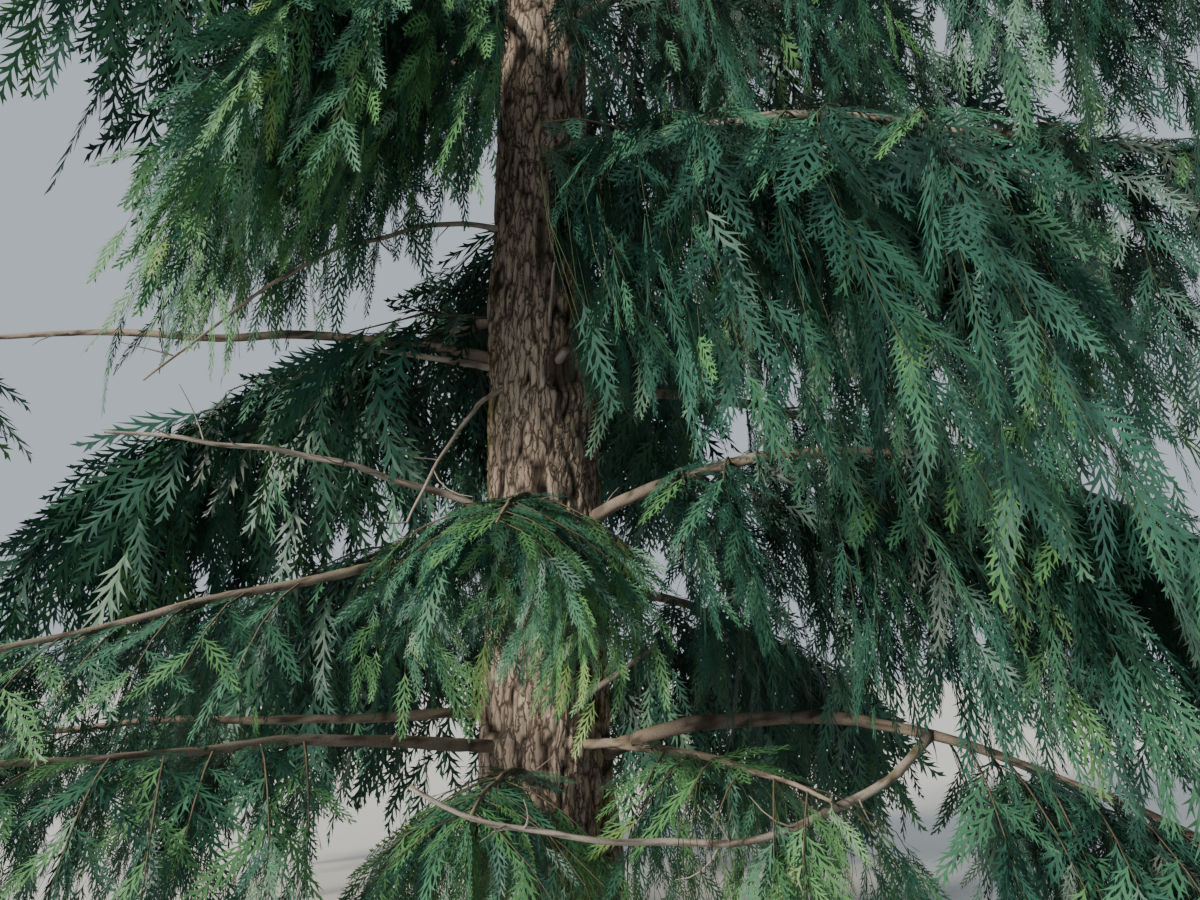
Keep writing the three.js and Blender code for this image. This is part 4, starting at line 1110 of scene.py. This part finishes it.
def growMass(number, mass, detail, steps):
    # side twigs on the stem, hanging twigs on both, fronds on all of them; a frond that leaves the
    # box, enters the trunk or covers the open front or the arch is left out
    source = np.random.default_rng(1000 + number)
    sideCurve, sideAlong, thick = sideTwigs(number, mass, detail, source)
    sides = spray["twigSides"]
    branching = twigTubes(sideCurve, thick, thick * (1 - spray["twigTaper"]), sides, detail["tubes"])
    curve, across, outer, length = hangers(number, mass, detail, source, sideCurve, sideAlong)
    thin = np.full(len(length), hangerForm["radius"])
    hanging = twigTubes(curve, thin, thin * hangerForm["tipShare"], sides, detail["tubes"])
    # the stem as a curve like the twigs', through its own middle
    first, last = coverForm["stemEnds"]
    foot, middle, end = (mass["stemAt"](t)[None] for t in (mass["leafyFrom"] + first, 0.5, last))
    stem = (foot, 2 * middle - (foot + end) / 2, end)
    growing = (
        fronds(mass, detail, source, curve, across, outer, length),
        coverFronds(detail, source, sideCurve, detail["covers"], 0.0),
        coverFronds(detail, source, stem, detail["stemCovers"], coverForm["stemLift"]),
    )
    at, along, flat, size, freshAndLit = (np.concatenate(parts) for parts in zip(*growing))
    tip = at + along * size[:, None]
    kept = insideBox(tip) & clearOfTrunk(tip, spray["frondRoom"]) & clearOfTrunk(at, spray["frondRoom"])
    kept &= behindArch(tip) & behindArch(at) & clearOfFront(tip) & clearOfFront(at)
    bend = frondForm["bend"] * source.uniform(*frondForm["bendRange"], len(at))
    kind = source.integers(0, detail["variants"], len(at))
    tint = np.digitize(freshAndLit, steps)
    leaves = []
    for variant in range(detail["variants"]):
        template = frondTemplate(detail, variant)
        mine = kept & (kind == variant)
        points, faces = placeFronds(template, at[mine], along[mine], flat[mine], size[mine], bend[mine])
        leaves.append((points, faces, np.repeat(tint[mine], len(template[1]))))
    return leaves, [(points, faces, np.full(len(points), share))
                    for (points, faces), share in zip((branching, hanging), spray["green"])]


crownNames = [f"crown_{count + 1:02d}" for count in range(crown["masses"])]
# each zone: its masses, how finely they are drawn, and its tint steps; the steps paint shade on the zones in
# shade and sunlight on the sunny and bright ones
zones = {
    "right_outer": (("right_dark", "right_upper", "right_top"), "near", "shade"),
    "right": (("right_low", "right_middle", "right_front"), "curtain", "shade"),
    "left": (("left_upper", "left_middle", "left_low", "left_front_low"), "near", "sun"),
    "front": (("front_upper", "front_middle"), "fan", "sun"),
    "front_foot": (("front_low", "front_foot"), "near", "bright"),
    "back": (("back_left", "back_right", "back_left_upper", "back_upper", "left_long"), "middle", "shade"),
    "crown_lower": (tuple(crownNames[:7]), "middle", "shade"),
    "crown_upper": ((*crownNames[7:], "leader"), "far", "sun"),
}
# Young twigs: dull brown where they branch, greener where they hang.
# the furrow colour in their cracks is partly their own dark and partly painted shade
twigLook = dict(boughLook, plateLight="#7d7063", plateDark="#544a40", furrowShade="#352f28", moss="#465339",
                mossFrom=(0.1, 0.4))
twigBark = barkMaterial("twigBark", twigLook, 0.88)
total = 0
for zone, (names, level, lit) in zones.items():
    leaves, twigs, stems, nodes = [], [], [], []
    for number, mass in enumerate(masses):
        if mass["name"].removesuffix("_foliage") not in names:
            continue
        nodes.append(mass["name"])
        moreLeaves, moreTwigs = growMass(number, mass, details[level], tintSteps[lit])
        leaves += moreLeaves
        twigs += moreTwigs
        if mass["onTrunk"]:
            stems.append(limbMesh(mass["stemAt"], mass["radiusAt"], mass["length"], 200 + number, sides=8))
    points, faces, tints = joined(leaves)
    leafPiece = makePiece(zone + "_sprays", points, faces, leafMaterials, slots=tints)
    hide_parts(*nodes)
    points, faces, values = joined(twigs)
    twigPiece = makePiece(zone + "_twigs", points, faces, [twigBark],
                          attributes={"furrowShade": values * 0, "tone": values * 0 + spray["twigTone"],
                                      "moss": values},
                          rounded=True)
    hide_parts(*nodes)
    if stems:
        points, faces, values = joined(stems)
        stemPiece = makePiece(zone + "_stems", points, faces, [boughBark],
                              attributes=barkValues(values), rounded=True)
        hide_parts(*nodes)
        total += len(stemPiece.data.polygons)
    total += len(leafPiece.data.polygons) + len(twigPiece.data.polygons)
    print(zone, "sprays", len(leafPiece.data.polygons), "twigs", len(twigPiece.data.polygons))
total += sum(len(piece.data.polygons) for piece in (trunkPiece, stubPiece, boughPiece, deadPiece))
print("triangles in all", total)


# Floor, light and camera

studio = {
    "floor": "#d8d8d4", "sky": "#dbe5ef", "skyStrength": 0.7,
    "sun": "#fff4e4", "sunStrength": 6.4, "sunSoftness": 9, "sunFrom": (-0.76, -0.54, 0.33),
    "floorHalf": 120.0,
}
floorMaterial, floorShader = newMaterial("paleFloor", 0.9, 0.1)
floorShader.inputs["Base Color"].default_value = hexColour(studio["floor"])
half = studio["floorHalf"]
corners = np.array([(-half, -half, 0), (half, -half, 0), (half, half, 0), (-half, half, 0)])
floorMesh = bpy.data.meshes.new("studio_floor")
floorMesh.from_pydata(corners.tolist(), [], [(0, 1, 2, 3)])
floorMesh.materials.append(floorMaterial)
floor = bpy.data.objects.new("studio_floor", floorMesh)
bpy.context.scene.collection.objects.link(floor)

world = bpy.data.worlds.new("studio_sky")
world.use_nodes = True
world.node_tree.nodes["Background"].inputs["Color"].default_value = hexColour(studio["sky"])
world.node_tree.nodes["Background"].inputs["Strength"].default_value = studio["skyStrength"]
bpy.context.scene.world = world

sun = bpy.data.objects.new("studio_key", bpy.data.lights.new("studio_key", "SUN"))
sun.data.energy = studio["sunStrength"]
sun.data.angle = math.radians(studio["sunSoftness"])
sun.data.color = hexColour(studio["sun"])[:3]
sunFrom = np.array(studio["sunFrom"])
sunTilt, sunTurn = math.atan2(math.hypot(*sunFrom[:2]), sunFrom[2]), math.atan2(sunFrom[0], -sunFrom[1])
sun.rotation_euler = (sunTilt, 0, sunTurn)
bpy.context.scene.collection.objects.link(sun)

view = {
    "place": (0, -5.0, 1.6), "focalPixels": 906, "photoWidth": 1200, "sensor": 36.0, "pitch": 13.6,
    "yaw": 3.0,
}
camera = bpy.data.objects.new("photo_camera", bpy.data.cameras.new("photo_camera"))
camera.location = view["place"]
camera.rotation_euler = (math.radians(90 + view["pitch"]), 0, -math.radians(view["yaw"]))
camera.data.sensor_width = view["sensor"]
camera.data.lens = view["sensor"] * view["focalPixels"] / view["photoWidth"]
bpy.context.scene.collection.objects.link(camera)
bpy.context.scene.camera = camera

print("studio", len(bpy.data.lights), "light")
